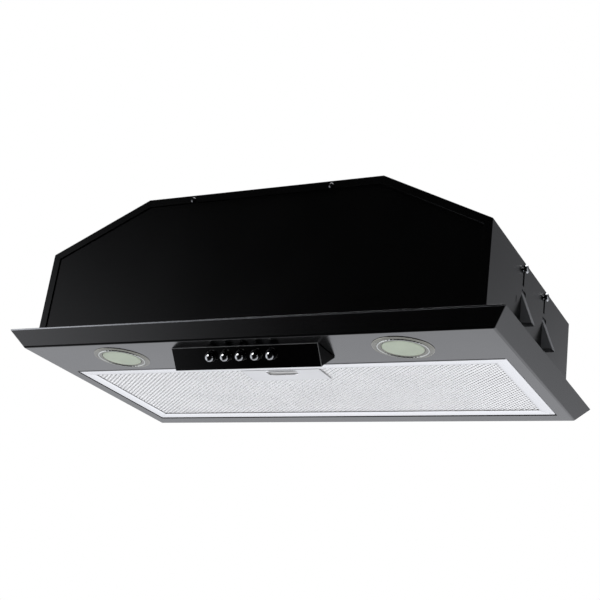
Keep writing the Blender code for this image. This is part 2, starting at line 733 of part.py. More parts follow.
def face_frame():
    """On the control box's face: local X to the right, local Y up the face, local Z out of it."""
    down = (BOX_LOW - BOX_FRONT).normalized()
    up = Vector((0, -down.x, -down.y))
    right = Vector((1, 0, 0))
    out = right.cross(up)
    frame = Matrix((right, up, out)).transposed().to_4x4()
    return Matrix.Translation((0, *BOX_FRONT)) @ frame


def box_point(down, inward, below_tray=False):
    """A (y, z) point so far down the face and so far in from it, or where that depth meets the tray."""
    along = (BOX_LOW - BOX_FRONT).normalized()
    into = Vector((-along.y, along.x))
    if below_tray:
        down = (GAP + inward * into.y) / -along.y
    return BOX_FRONT + along * down + into * inward


def button_xs():
    return [BUTTON_CENTRE_X + BUTTON_PITCH * (i - (BUTTONS - 1) / 2) for i in range(BUTTONS)]


def control_box():
    frame = face_frame()
    rise = (BOX_BACK - BOX_LOW).normalized()
    fascia_outline = [
        box_point(0, 0, True),
        BOX_LOW,
        BOX_LOW + rise * FASCIA_THICK,
        box_point(0, FASCIA_THICK, True),
    ]
    fascia = slab("control_fascia", [fascia_outline], BOX_LEFT, BOX_RIGHT, GLOSS_BLACK, ALONG_X)
    start = FASCIA_THICK + GAP
    back = BOX_BACK - rise * (GAP / rise.y)
    housing_outline = [box_point(0, start, True), BOX_LOW + rise * start, back]
    housing = slab("control_housing", [housing_outline], BOX_LEFT, BOX_RIGHT, BLACK_PAINT, ALONG_X)
    inner = Vector((-rise.y, rise.x)) * PLASTIC_WALL
    lower = BOX_LOW + inner
    hollow_outline = [lower - rise * 0.01, lower + rise * 0.05, lower + rise * 0.05 + inner * 16]
    hollow_outline.append(lower - rise * 0.01 + inner * 16)
    hollow_ends = (BOX_LEFT + PLASTIC_WALL, BOX_RIGHT - PLASTIC_WALL)
    hollow = slab("control_hollow", [hollow_outline], *hollow_ends, None, ALONG_X)
    cut(housing, hollow)
    xs = button_xs()
    middle = -BUTTON_DOWN_FACE
    block_low = (xs[0] - 0.0115, middle - 0.0066, -0.0180)
    block_high = (xs[-1] + 0.0115, middle + 0.0066, -0.0042)
    block = box("switch_block", block_low, block_high, WHITE_PLASTIC, frame)
    for i, x in enumerate(xs):
        ends = ((x, middle, -0.010), (x, middle, 0.010))
        cut(fascia, on_face(rod(f"fascia_hole_{i}", *ends, BUTTON_HOLE, sides=20), frame))
        ends = ((x, middle, -0.0125), (x, middle, 0.0))
        cut(block, on_face(rod(f"plunger_hole_{i}", *ends, 0.0028, sides=12), frame))
        push_button(f"push_button_{i + 1}", frame @ Matrix.Translation((x, middle, 0.0)))


def on_face(obj, frame):
    obj.matrix_world = frame @ obj.matrix_world
    return obj


def push_button(name, place):
    """A domed key on a stem that runs into the switch block. Its origin is where its axis meets the face."""
    dome = [(0.0, 0.0080), (0.0019, 0.0077), (0.0036, 0.0066), (0.0045, 0.0048), (0.0043, 0.0022)]
    skirt = [(0.0055, 0.0013), (0.0055, -0.0005), (0.0022, -0.0005), (0.0022, -0.0080), (0.0, -0.0080)]
    turned(name, dome + skirt, CHROME, place, 16, ring=False)


# Grease filter and its latch


def filter_cassette():
    top = FILTER_Z + FILTER_THICK
    outer = rectangle(FILTER_HALF, FILTER_FRONT, FILTER_REAR)
    front, rear = FILTER_FRONT + FILTER_RAIL, FILTER_REAR - FILTER_RAIL
    inner = rectangle(FILTER_HALF - FILTER_RAIL, front, rear)
    frame = slab("filter_frame", [outer, inner], FILTER_Z, top, ALUMINIUM)
    pocket_low = Vector((FILTER_WALL - FILTER_HALF, FILTER_FRONT + FILTER_WALL, FILTER_Z + FILTER_LIP))
    pocket_high = Vector((FILTER_HALF - FILTER_WALL, FILTER_REAR - FILTER_WALL, top - FILTER_LIP))
    cut(frame, box("filter_pocket", pocket_low, pocket_high))
    notch = TONGUE_HALF + 0.0007
    notch_front = (-notch, FILTER_FRONT - 0.002, FILTER_Z + FILTER_LIP)
    notch_rear = (notch, FILTER_FRONT + 0.004, FILTER_Z + FILTER_LIP + 0.0030)
    cut(frame, box("tongue_notch", notch_front, notch_rear))
    for side in (-1, 1):
        x = side * 0.150
        low = (x - 0.010, FILTER_REAR - FILTER_WALL / 2, TRAY_TOP_Z + GAP)
        join(frame, box(f"rear_tongue_{side}", low, (x + 0.010, 0.1165, TRAY_TOP_Z + GAP + SHEET)))
    gap = Vector((GAP, GAP, GAP))
    pad_high = Vector((pocket_high.x, pocket_high.y, pocket_low.z + MESH_THICK + 2 * GAP))
    pad = box("filter_mesh", pocket_low + gap, pad_high - gap, ALUMINIUM)
    bay = 0.0006
    bay_low = (-LATCH_HALF - bay, FILTER_FRONT - 0.01, FILTER_Z - 0.01)
    cut(pad, box("latch_bay", bay_low, (LATCH_HALF + bay, LATCH_REAR + bay, top + 0.01)))


def filter_latch():
    """A shallow pan in the filter with a finger slot, and a sprung slider whose tongue points forwards."""
    floor = FILTER_Z + FILTER_LIP
    low = (-LATCH_HALF, LATCH_FRONT, FILTER_Z)
    pan = box("latch_plate", low, (LATCH_HALF, LATCH_REAR, FILTER_Z + 0.0066), ALUMINIUM)
    hollow = (-LATCH_HALF + FILTER_LIP, LATCH_FRONT - 0.01, floor)
    cut(pan, box("latch_hollow", hollow, (LATCH_HALF - FILTER_LIP, LATCH_REAR - FILTER_LIP, 0.0)))
    slot_low, slot_high = FINGER_SLOT
    cut(pan, box("finger_slot", (*slot_low, FILTER_Z - 0.002), (*slot_high, floor + 0.0005)))
    low_z, high_z = floor + GAP, floor + GAP + 0.002
    slider = box("latch_slider", (-0.021, SLIDER_FRONT, low_z), (0.021, SLIDER_REAR, high_z), ALUMINIUM)
    tip = OPENING_FRONT + 0.0004
    tongue = box("slider_tongue", (-TONGUE_HALF, tip, low_z), (TONGUE_HALF, SLIDER_FRONT + 0.002, high_z))
    catch = box("finger_catch", (-0.0160, -0.0400, FILTER_Z + 0.0001), (0.0160, -0.0375, high_z - SHEET))
    join(slider, tongue, catch)
    turns, per_turn, radius = 5, 7, 0.0017
    start, end = SLIDER_REAR + GAP, LATCH_REAR - FILTER_LIP - GAP
    coil = []
    for i in range(turns * per_turn + 1):
        angle = 2 * math.pi * i / per_turn
        y = start + 0.0004 + (end - start - 0.0008) * i / (turns * per_turn)
        coil.append((radius * math.cos(angle), y, low_z + 0.0022 + radius * math.sin(angle)))
    tube("latch_spring", coil, 0.00028, CHROME)


# Side clips


def side_clip(side, place_name, y):
    """A plate inside the side wall, whose hollow wedge stands out through the wall's window."""
    name = f"side_clip_{place_name}"
    inner_x, plate_x = BODY_HALF - SHEET - GAP - 0.0012, BODY_HALF - SHEET - GAP
    foot_x = BODY_HALF + CLIP_REACH
    corners = [(inner_x, 0.0120), (plate_x, 0.0120), (plate_x, 0.0865), (inner_x, 0.0865)]
    clip = across(name, [corners], y - 0.009, y + 0.009, BLACK_PAINT, side)
    root_x, apex_z = inner_x + 0.0005, CLIP_APEX_Z + 0.0025
    wedge = [(root_x, CLIP_FOOT_Z), (foot_x, CLIP_FOOT_Z), (root_x, apex_z)]
    join(clip, across(f"{name}_wedge", [wedge], y - CLIP_HALF, y + CLIP_HALF, None, side))
    slope = (apex_z - CLIP_FOOT_Z) / (foot_x - root_x)
    thin = 0.0011
    room = (foot_x - thin - plate_x) * slope
    hollow = [(plate_x, CLIP_FOOT_Z - 0.002), (foot_x - thin + 0.002 / slope, CLIP_FOOT_Z - 0.002)]
    hollow.append((plate_x, CLIP_FOOT_Z + room))
    half = CLIP_HALF - 0.0010
    cut(clip, across(f"{name}_hollow", [hollow], y - half, y + half, None, side))
    screw_y = y + CLIP_SCREW_BEHIND
    ends = ((side * 0.225, screw_y, CLIP_SCREW_Z), (side * 0.245, screw_y, CLIP_SCREW_Z))
    cut(clip, rod(f"{name}_screw_hole", *ends, 0.0020, sides=12))


def across(name, outlines, low, high, look, side):
    """(x, z) outlines between two places along Y, mirrored for the left side."""
    turn = Matrix(((1, 0, 0, 0), (0, 0, -1, 0), (0, 1, 0, 0), (0, 0, 0, 1)))
    mirrored = [[(side * x, z) for x, z in outline] for outline in outlines]
    return slab(name, mirrored, -high, -low, look, turn)


def clamp_screw(side, place_name, y):
    """A screw through the slot: its head outside the wall and its nut inside, behind the clip."""
    nut = [(0.0016, -0.0030), (0.0034, -0.0030), (0.0034, -0.0052), (0.0016, -0.0052)]
    head = [(0.0, 0.0040), (0.0026, 0.0038), (0.0042, 0.0030), (0.0042, 0.0018), (0.0016, 0.0018)]
    profile = head + nut + [(0.0016, -0.0070), (0.0, -0.0070)]
    start = Matrix.Translation((side * BODY_HALF, y + CLIP_SCREW_BEHIND, CLIP_SCREW_Z))
    place = start @ Matrix.Rotation(side * math.pi / 2, 4, "Y")
    turned(f"clamp_screw_{place_name}", profile, CHROME, place, 14, ring=False)


def main():
    canopy_tray()
    filter_seat()
    housing_wrap()
    end_panel("front_panel", BODY_FRONT + SHEET + GAP, 1, ("screw_hole_left", "screw_hole_right"))
    end_panel("rear_panel", BODY_REAR - SHEET - GAP, -1, ())
    duct_collar()
    damper_flap("damper_flap_rear", 0.0)
    damper_flap("damper_flap_front", math.pi)
    blower_casing()
    fan_wheel()
    motor()
    motor_bracket()
    junction_box()
    capacitor()
    leads()
    for side, place_name in ((-1, "left"), (1, "right")):
        lamp(side, place_name)
        for end, y in zip(("front", "rear"), CLIP_Y):
            side_clip(side, f"{place_name}_{end}", y)
            clamp_screw(side, f"{place_name}_{end}", y)
    control_box()
    filter_cassette()
    filter_latch()
    for obj in PARTS.objects:
        if obj.type == "MESH":
            obj.data.shade_smooth()
            obj.data.set_sharp_from_angle(angle=math.radians(35))


main()
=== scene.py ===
"""Looks for the built-in canopy range hood: finishes, fine shapes, studio and camera round the CAD model.

X runs to the right, Y to the back and Z up, in metres, as in the CAD model.
"""

import json
import math

import bmesh
import bpy
from mathutils import Matrix, Vector

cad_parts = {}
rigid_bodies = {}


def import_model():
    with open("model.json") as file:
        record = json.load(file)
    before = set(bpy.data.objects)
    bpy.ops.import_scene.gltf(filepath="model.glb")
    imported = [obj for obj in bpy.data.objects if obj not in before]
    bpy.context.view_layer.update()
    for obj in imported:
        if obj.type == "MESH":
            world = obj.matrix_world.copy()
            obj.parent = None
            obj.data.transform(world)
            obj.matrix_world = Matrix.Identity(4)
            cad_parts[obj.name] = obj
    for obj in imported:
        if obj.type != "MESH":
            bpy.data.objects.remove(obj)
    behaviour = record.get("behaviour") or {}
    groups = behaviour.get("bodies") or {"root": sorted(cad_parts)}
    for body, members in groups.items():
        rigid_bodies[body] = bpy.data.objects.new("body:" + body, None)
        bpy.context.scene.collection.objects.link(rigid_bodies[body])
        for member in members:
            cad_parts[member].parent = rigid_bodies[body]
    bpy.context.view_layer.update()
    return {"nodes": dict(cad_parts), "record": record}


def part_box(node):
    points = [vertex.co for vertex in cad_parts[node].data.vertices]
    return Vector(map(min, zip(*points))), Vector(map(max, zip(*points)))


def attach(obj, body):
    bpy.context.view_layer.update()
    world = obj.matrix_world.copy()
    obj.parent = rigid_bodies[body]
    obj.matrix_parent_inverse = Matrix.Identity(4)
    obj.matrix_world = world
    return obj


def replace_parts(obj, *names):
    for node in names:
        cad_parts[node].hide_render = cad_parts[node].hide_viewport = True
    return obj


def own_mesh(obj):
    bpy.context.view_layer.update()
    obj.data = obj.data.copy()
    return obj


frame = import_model()
NODES = frame["nodes"]
BODY_OF = {node: body for body, nodes in frame["record"]["behaviour"]["bodies"].items() for node in nodes}
SLOT_OF = {row["node"]: row["material_slot"] for row in frame["record"]["subparts"]}
MOUNTS = {row["name"]: Vector(row["pos_m"]) for row in frame["record"]["mounts"]}

UP = Vector((0, 0, 1))
QUARTER = math.pi / 2
# An outline in Y and Z is drawn along X through this turn
ALONG_X = Matrix(((0, 0, 1, 0), (1, 0, 0, 0), (0, 1, 0, 0), (0, 0, 0, 1)))

# The photograph's camera
CAMERA_PLACE = (0.55256, -1.01083, -0.36399)
CAMERA_AZIMUTH = math.radians(29.145)
CAMERA_ELEVATION = math.radians(-20.833)
CAMERA_ROLL = math.radians(7.926)
CAMERA_LENS = 71.53

# Studio, with the powers of its lights in watts
FLOOR_Z = -0.75
FLOOR_HALF = 5.0
OVERHEAD_POWER = 80
KEY_POWER = 22
FILL_POWER = 12

# Filter mesh: diamonds in expanded sheet
DIAMOND_WIDE = 0.0057
DIAMOND_DEEP = 0.0052
STRAND = 0.0025
LIFT = 0.00006
FOIL = 0.0003

# Sizes that the boxes of the CAD nodes don't give
CLOSE = 0.0003
WELD = 0.000002
FINE_WELD = 0.000001
CAD_WELD = 0.000004
PANEL_SCREW_X = 0.076
PANEL_SCREW_DROP = 0.005
REAR_SCREW_LEVELS = (0.012, 0.07)
BLADES = 26
BLADE_LEAN = math.radians(35)
RING_WIDTH = 0.0088
BUTTONS = 5
KEY_RISE = 0.008
FASCIA_NORMAL = Vector((0, -0.789, -0.614)).normalized()
FILTER_RAIL = 0.0128
FILTER_WALL = 0.001
TONGUE_HALF = 0.008
FINGER_SLOT_Y = -0.035
RIM_SLOPE = 0.013

SIDES = ((-1, "left"), (1, "right"))


# Finishes


def add_node(tree, kind, inputs=None, **settings):
    """A node with its settings, and with its inputs linked or set."""
    made = tree.nodes.new(kind)
    for key, value in settings.items():
        setattr(made, key, value)
    for socket, value in (inputs or {}).items():
        if isinstance(value, bpy.types.NodeSocket):
            tree.links.new(value, made.inputs[socket])
        else:
            made.inputs[socket].default_value = value
    return made


class Finish:
    """A Principled material, with short ways to add its texture nodes."""

    def __init__(self, name, colour, roughness, metallic=0.0, **fixed):
        self.name = name
        self.material = bpy.data.materials.new(f"{name}_finish")
        self.material.use_nodes = True
        self.tree = self.material.node_tree
        self.shader = self.tree.nodes["Principled BSDF"]
        self.colour = colour
        self.roughness = roughness
        sockets = {"Base Color": (*colour, 1.0), "Roughness": roughness, "Metallic": metallic}
        for socket, value in {**sockets, **fixed}.items():
            self.shader.inputs[socket].default_value = value
        self.place = self.node("ShaderNodeTexCoord").outputs["Object"]
        self.normal = None

    def node(self, kind, inputs=None, **settings):
        return add_node(self.tree, kind, inputs, **settings)

    def link(self, value, socket):
        self.tree.links.new(value, self.shader.inputs[socket])

    def axes(self):
        return self.node("ShaderNodeSeparateXYZ", {"Vector": self.place}).outputs

    def noise(self, size, stretch=None, detail=2.0):
        """Noise, drawn out along the axes where a stretch has small numbers."""
        place = self.place
        if stretch:
            place = self.node("ShaderNodeMapping", {"Vector": place, "Scale": stretch}).outputs[0]
        inputs = {"Vector": place, "Scale": 1 / size, "Detail": detail}
        return self.node("ShaderNodeTexNoise", inputs).outputs[0]

    def math(self, operation, *values):
        return self.node("ShaderNodeMath", dict(enumerate(values)), operation=operation).outputs[0]

    def span(self, value, low, high, start=0.0, end=1.0):
        """A value from start to end, as the given one goes from low to high."""
        inputs = {"Value": value, "From Min": low, "From Max": high, "To Min": start, "To Max": end}
        return self.node("ShaderNodeMapRange", inputs).outputs[0]

    def shade(self, factor, amount):
        """Colour that goes from darker to lighter than the base by a share of it."""
        ends = [(*(min(1.0, c * share) for c in self.colour), 1.0) for share in (1 - amount, 1 + amount)]
        mixed = self.node("ShaderNodeMix", {0: factor, 6: ends[0], 7: ends[1]}, data_type="RGBA")
        self.link(mixed.outputs[2], "Base Color")

    def gloss(self, factor, amount):
        """Roughness that goes from lower to higher than the base by a share of it."""
        low, high = self.roughness * (1 - amount), self.roughness * (1 + amount)
        self.link(self.span(factor, 0.25, 0.75, low, high), "Roughness")

    def bumps(self, height, depth):
        """Relief of that depth in metres, on top of any that is there."""
        inputs = {"Height": height, "Distance": depth, "Strength": 1.0}
        if self.normal:
            inputs["Normal"] = self.normal
        self.normal = self.node("ShaderNodeBump", inputs).outputs[0]
        self.link(self.normal, "Normal")


def surface(name, colour, roughness, metallic=0.0, cloud=0.07, shade=0.1, gloss=0.15, grain=0.001,
            depth=0.000004, stretch=None, **fixed):
    """A finish with cloudy colour and gloss, and a fine grain that may be drawn out along an axis."""
    look = Finish(name, colour, roughness, metallic, **fixed)
    clouds = look.noise(cloud, detail=4.0)
    fine = look.noise(grain, stretch, detail=3.0)
    look.shade(look.span(clouds, 0.3, 0.7), shade)
    look.gloss(look.math("MULTIPLY_ADD", fine, 0.5, look.math("MULTIPLY", clouds, 0.5)), gloss)
    look.bumps(fine, depth)
    return look


def galvanised():
    """Zinc with spangle: crystals that differ in brightness and gloss."""
    look = Finish("galvanised_steel", (0.5, 0.52, 0.54), 0.36, 1.0)
    cells = {"Vector": look.place, "Scale": 1 / 0.0075}
    crystal = look.node("ShaderNodeTexVoronoi", cells).outputs["Color"]
    patch = look.node("ShaderNodeSeparateColor", {"Color": crystal}).outputs[0]
    fine = look.noise(0.0012, detail=4.0)
    look.shade(look.math("MULTIPLY_ADD", fine, 0.35, look.math("MULTIPLY", patch, 0.65)), 0.22)
    look.gloss(patch, 0.25)
    look.bumps(fine, 0.000006)
    return look


def laminations():
    """Stacked sheet steel: fine lines across the axle's direction."""
    look = Finish("lamination_steel", (0.28, 0.29, 0.31), 0.42, 1.0)
    across = look.axes()[0]
    sheet = look.math("PINGPONG", across, 0.00025)
    line = look.span(sheet, 0.0, 0.00008)
    look.shade(line, 0.35)
    look.bumps(line, 0.00004)
    return look


def frame_metal():
    """Bright aluminium, brushed along each of the filter frame's four rails."""
    low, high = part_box("filter_frame")
    look = Finish("aluminium", (0.74, 0.74, 0.745), 0.3, 1.0)
    x, y, _ = look.axes()
    from_side = look.math("SUBTRACT", high.x, look.math("ABSOLUTE", x))
    from_end = look.math("MINIMUM", look.math("SUBTRACT", y, low.y), look.math("SUBTRACT", high.y, y))
    side_rail = look.math("LESS_THAN", from_side, from_end)
    along_x = look.noise(0.0006, (0.02, 1, 1), detail=3.0)
    along_y = look.noise(0.0006, (1, 0.02, 1), detail=3.0)
    brushed = look.node("ShaderNodeMix", {0: side_rail, 2: along_x, 3: along_y}, data_type="FLOAT").outputs[0]
    look.shade(look.span(brushed, 0.3, 0.7), 0.05)
    look.gloss(brushed, 0.25)
    look.bumps(brushed, 0.0000015)
    return look


def mesh_metal():
    """Stretched aluminium foil, a little uneven from strand to strand."""
    look = Finish("aluminium_mesh", (0.93, 0.925, 0.915), 0.28, 0.9)
    patch = look.noise(0.05, detail=2.0)
    fine = look.noise(0.0009, detail=4.0)
    look.shade(look.span(patch, 0.3, 0.7), 0.03)
    look.gloss(fine, 0.3)
    look.bumps(fine, 0.00001)
    return look


def turned_metal():
    """Metal turned on a lathe: fine rings about the piece's own Z axis."""
    look = Finish("lamp_bezel", (0.145, 0.143, 0.122), 0.24, 1.0)
    x, y, _ = look.axes()
    squares = look.math("ADD", look.math("MULTIPLY", x, x), look.math("MULTIPLY", y, y))
    radius = look.math("SQRT", squares)
    along = look.node("ShaderNodeCombineXYZ", {0: radius, 1: 0.0, 2: 0.0}).outputs[0]
    rings = look.node("ShaderNodeTexNoise", {"Vector": along, "Scale": 9000.0, "Detail": 2.0}).outputs[0]
    smear = look.noise(0.012, detail=3.0)
    look.shade(look.span(smear, 0.3, 0.7), 0.12)
    look.gloss(rings, 0.4)
    look.bumps(rings, 0.000004)
    return look


def frosted():
    """Etched glass with the pale green of its edge, a little cloudy where the lamp sits behind it."""
    look = Finish("frosted_glass", (0.67, 0.76, 0.6), 0.42, 0.0, IOR=1.5)
    cloud = look.noise(0.022, detail=2.0)
    etch = look.noise(0.0005, detail=4.0)
    look.shade(look.span(cloud, 0.3, 0.7), 0.05)
    look.gloss(etch, 0.2)
    look.bumps(etch, 0.00001)
    return look


def make_finishes():
    """The finishes of the CAD's material slots, and those of pieces that only this script adds."""
    made = (
        surface("dark_paint", (0.0018, 0.002, 0.0022), 0.2, IOR=1.55, grain=0.0016, depth=0.0000025),
        surface("black_paint", (0.0004, 0.0005, 0.0005), 0.23, IOR=1.42, grain=0.0011, depth=0.000003),
        surface("gloss_black", (0.0015, 0.0015, 0.0017), 0.08, IOR=1.3, grain=0.012, depth=0.00001),
        surface("box_black", (0.0014, 0.0015, 0.0016), 0.42, IOR=1.16, grain=0.0011, depth=0.000003),
        surface("grey_coat", (0.15, 0.155, 0.165), 0.45, grain=0.0009, depth=0.000008),
        surface("slider_coat", (0.82, 0.82, 0.82), 0.38, 0.15, grain=0.0009, depth=0.000006),
        # Grey painted as the highlight along the fascia's edge
        surface("worn_edge", (0.26, 0.265, 0.27), 0.4, grain=0.002, depth=0.000006),
        # Bright metal painted as the highlight along the rim's top edge
        surface("lit_edge", (0.36, 0.365, 0.375), 0.2, 1.0, shade=0.04, grain=0.0016, depth=0.0000025),
        surface("chrome", (0.86, 0.87, 0.88), 0.07, 1.0, shade=0.04, grain=0.003, depth=0.000002),
        surface("key_chrome", (0.27, 0.275, 0.28), 0.05, 1.0, shade=0.04, grain=0.003, depth=0.000002),
        surface("glint_chrome", (0.43, 0.44, 0.42), 0.16, 1.0, shade=0.08, grain=0.002, depth=0.000006),
        surface("bezel_line", (0.34, 0.335, 0.29), 0.2, 1.0, grain=0.002, depth=0.000006),
        surface("zinc", (0.46, 0.47, 0.48), 0.14, 1.0, shade=0.06, grain=0.002, depth=0.000004),
        surface("dark_zinc", (0.13, 0.13, 0.135), 0.22, 1.0, shade=0.06, grain=0.002, depth=0.000004),
        surface("dull_aluminium", (0.6, 0.6, 0.6), 0.34, 1.0, gloss=0.3, depth=0.000002,
                stretch=(0.03, 1, 1)),
        surface("copper", (0.56, 0.22, 0.09), 0.3, 1.0, depth=0.00006, stretch=(0.3, 1, 1)),
        surface("wool", (0.52, 0.52, 0.515), 0.45, 0.4, cloud=0.05, shade=0.03, grain=0.0008, depth=0.0001),
        surface("black_plastic", (0.013, 0.013, 0.014), 0.46, grain=0.0006, depth=0.00002),
        surface("white_plastic", (0.66, 0.65, 0.61), 0.42, shade=0.05, grain=0.0006, depth=0.00001),
        surface("wire_jacket", (0.016, 0.016, 0.017), 0.38, grain=0.0015, depth=0.00003),
        surface("led", (0.78, 0.74, 0.52), 0.4, grain=0.002, depth=0.00003),
        surface("floor", (0.8, 0.8, 0.8), 0.6, cloud=0.8, shade=0.02),
        frame_metal(),
        mesh_metal(),
        turned_metal(),
        frosted(),
        galvanised(),
        laminations(),
    )
    return {look.name: look.material for look in made}


LOOKS = make_finishes()


def dress_nodes():
    """Every CAD node gets its slot's finish and smooth shading."""
    for name, obj in NODES.items():
        obj.data.materials.clear()
        obj.data.materials.append(LOOKS[SLOT_OF[name]])
        obj.data.shade_smooth()
        obj.data.set_sharp_from_angle(angle=math.radians(30))


# Studio and camera


def studio():
    """A soft surround, bright behind and below and dark in front, over a pale floor."""
    world = bpy.data.worlds.new("studio")
    bpy.context.scene.world = world
    world.use_nodes = True
    tree = world.node_tree
    direction = add_node(tree, "ShaderNodeTexCoord").outputs["Generated"]

    def toward(axis, start, end, low, high):
        """Brightness from low to high as a direction turns towards an axis."""
        inputs = {0: direction, 1: Vector(axis).normalized()}
        dot = add_node(tree, "ShaderNodeVectorMath", inputs, operation="DOT_PRODUCT").outputs["Value"]
        inputs = {"Value": dot, "From Min": start, "From Max": end, "To Min": low, "To Max": high}
        return add_node(tree, "ShaderNodeMapRange", inputs, interpolation_type="SMOOTHSTEP").outputs[0]

    def combine(operation, *values):
        return add_node(tree, "ShaderNodeMath", dict(enumerate(values)), operation=operation).outputs[0]

    behind = toward((0, 1, 0), 0.0, 0.45, 0.0, 1.0)
    below = toward((0, 0, 1), -0.32, -0.16, 1.32, 0.6)
    above = toward((0, 0, 1), 0.22, 0.42, 0.0, -0.37)
    left_low = toward((-0.9, -0.2, -0.4), 0.82, 0.96, 0.009, 1.9)
    left_front = toward((-0.72, -0.66, 0.05), 0.93, 0.985, 0.0, 1.05)
    rear = combine("MULTIPLY", behind, combine("ADD", below, above))
    bright = combine("ADD", rear, combine("ADD", left_low, left_front))
    background = tree.nodes["Background"]
    tree.links.new(bright, background.inputs["Strength"])
    background.inputs["Color"].default_value = (0.97, 0.985, 1.035, 1)
    seen = add_node(tree, "ShaderNodeBackground", {"Color": (1, 1, 1, 1)})
    camera_ray = add_node(tree, "ShaderNodeLightPath").outputs["Is Camera Ray"]
    choice = {0: camera_ray, 1: background.outputs[0], 2: seen.outputs[0]}
    choose = add_node(tree, "ShaderNodeMixShader", choice)
    tree.links.new(choose.outputs[0], tree.nodes["World Output"].inputs["Surface"])

    bm = bmesh.new()
    bmesh.ops.create_grid(bm, x_segments=8, y_segments=8, size=FLOOR_HALF)
    floor = from_bmesh("floor", bm, "floor")
    floor.location.z = FLOOR_Z
    floor.visible_glossy = False
    softbox("overhead", (0.0, 0.3, 2.0), (0, 0, 0), 3.0, OVERHEAD_POWER)


def softbox(name, place, target, size, power):
    """A square light that faces a target and that the camera doesn't see."""
    light = bpy.data.lights.new(name, "AREA")
    light.size = size
    light.energy = power
    obj = bpy.data.objects.new(name, light)
    obj.location = place
    obj.rotation_euler = (Vector(target) - Vector(place)).to_track_quat("-Z", "Y").to_euler()
    obj.visible_camera = False
    bpy.context.scene.collection.objects.link(obj)
    return obj


def only_lights(light, pieces):
    """Keep a light's effect to some pieces."""
    group = bpy.data.collections.new(f"{light.name}_receivers")
    for piece in pieces:
        group.objects.link(piece)
    light.light_linking.receiver_collection = group


def photo_camera():
    """The camera, turned to its azimuth, elevation and roll."""
    forward = Vector((0, 1, 0))
    forward.rotate(Matrix.Rotation(-CAMERA_ELEVATION, 3, "X"))
    forward.rotate(Matrix.Rotation(CAMERA_AZIMUTH, 3, "Z"))
    right = forward.cross(UP).normalized()
    up = right.cross(forward)
    across = right * math.cos(CAMERA_ROLL) + up * math.sin(CAMERA_ROLL)
    upright = up * math.cos(CAMERA_ROLL) - right * math.sin(CAMERA_ROLL)
    data = bpy.data.cameras.new("photo")
    data.lens = CAMERA_LENS
    data.clip_start = 0.01
    camera = bpy.data.objects.new("photo", data)
    turn = Matrix((across, upright, -forward)).transposed().to_4x4()
    camera.matrix_world = Matrix.Translation(CAMERA_PLACE) @ turn
    bpy.context.scene.collection.objects.link(camera)
    bpy.context.scene.camera = camera
    bpy.context.scene.view_settings.view_transform = "Standard"


# Modelling tools


def from_bmesh(name, bm, look, place=None, sharp=30):
    """An object with a finish, shaded smooth between its sharp edges."""
    mesh = bpy.data.meshes.new(name)
    bm.to_mesh(mesh)
    bm.free()
    mesh.materials.append(LOOKS[look])
    mesh.shade_smooth()
    mesh.set_sharp_from_angle(angle=math.radians(sharp))
    obj = bpy.data.objects.new(name, mesh)
    if place is not None:
        obj.matrix_world = place
    bpy.context.scene.collection.objects.link(obj)
    return obj


def closed_shape(name, bm, look, place=None, sharp=30):
    """An object from closed shapes, with every face turned outward."""
    bmesh.ops.recalc_face_normals(bm, faces=bm.faces)
    return from_bmesh(name, bm, look, place, sharp)


def goes_with(obj, node):
    """The piece is an extra on a node's body."""
    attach(obj, BODY_OF[node])
    return obj


def stands_for(obj, node):
    """The piece is seen in a node's place."""
    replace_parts(goes_with(obj, node), node)
    return obj


def middle(node):
    low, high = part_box(node)
    return (low + high) / 2


def half_size(node):
    low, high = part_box(node)
    return (high - low) / 2


def along(axis, at):
    """A place whose local Z runs along an axis."""
    return Matrix.Translation(at) @ Vector(axis).to_track_quat("Z", "Y").to_matrix().to_4x4()


def soft_corners(points, radius, closed=False, steps=4):
    """The outline with each corner rounded by a short curve."""
    found = []
    count = len(points)
    for i, point in enumerate(points):
        if not closed and i in (0, count - 1):
            found.append(point)
            continue
        here = Vector(point)
        ends = []
        for other in (points[i - 1], points[(i + 1) % count]):
            toward = Vector(other) - here
            ends.append(here + toward * min(radius / toward.length, 0.45))
        for step in range(steps + 1):
            t = step / steps
            found.append(tuple(ends[0] * (1 - t) ** 2 + here * 2 * t * (1 - t) + ends[1] * t * t))
    return found


def turned(name, profile, look, place, steps=96, closed=False, radius=0.0003, sharp=40):
    """A (radius, height) profile turned about local Z, with its corners softened."""
    bm = bmesh.new()
    points = soft_corners(profile, radius, closed) if radius else profile
    verts = [bm.verts.new((r, 0, h)) for r, h in points]
    edges = [bm.edges.new(pair) for pair in zip(verts, verts[1:])]
    if closed:
        edges.append(bm.edges.new((verts[-1], verts[0])))
    geometry = verts + edges
    bmesh.ops.spin(bm, geom=geometry, axis=UP, cent=(0, 0, 0), angle=math.tau, steps=steps, use_merge=True)
    bmesh.ops.remove_doubles(bm, verts=bm.verts, dist=FINE_WELD)
    return closed_shape(name, bm, look, place, sharp)


def bevel(obj, width, segments=3, angle=30, limit="ANGLE"):
    """Rounded edges, shaded as if the faces between them were flat."""
    rounded = obj.modifiers.new("edges", "BEVEL")
    rounded.limit_method = limit
    rounded.angle_limit = math.radians(angle)
    rounded.width = width
    rounded.segments = segments
    even = obj.modifiers.new("shading", "WEIGHTED_NORMAL")
    even.keep_sharp = True
    return obj


def bridge(bm, first, second):
    """The faces between two rings with as many points, and one over each ring."""
    count = len(first)
    for i in range(count):
        j = (i + 1) % count
        bm.faces.new((first[i], first[j], second[j], second[i]))
    bm.faces.new(first[::-1])
    bm.faces.new(second)


def extrude(bm, section, low, high, place=None):
    """A closed section between two heights along local Z, added to a mesh."""
    turn = place or Matrix()
    bridge(bm, *([bm.verts.new(turn @ Vector((x, y, z))) for x, y in section] for z in (low, high)))


def prism(name, section, low, high, look, place=None):
    bm = bmesh.new()
    extrude(bm, section, low, high, place)
    return closed_shape(name, bm, look)


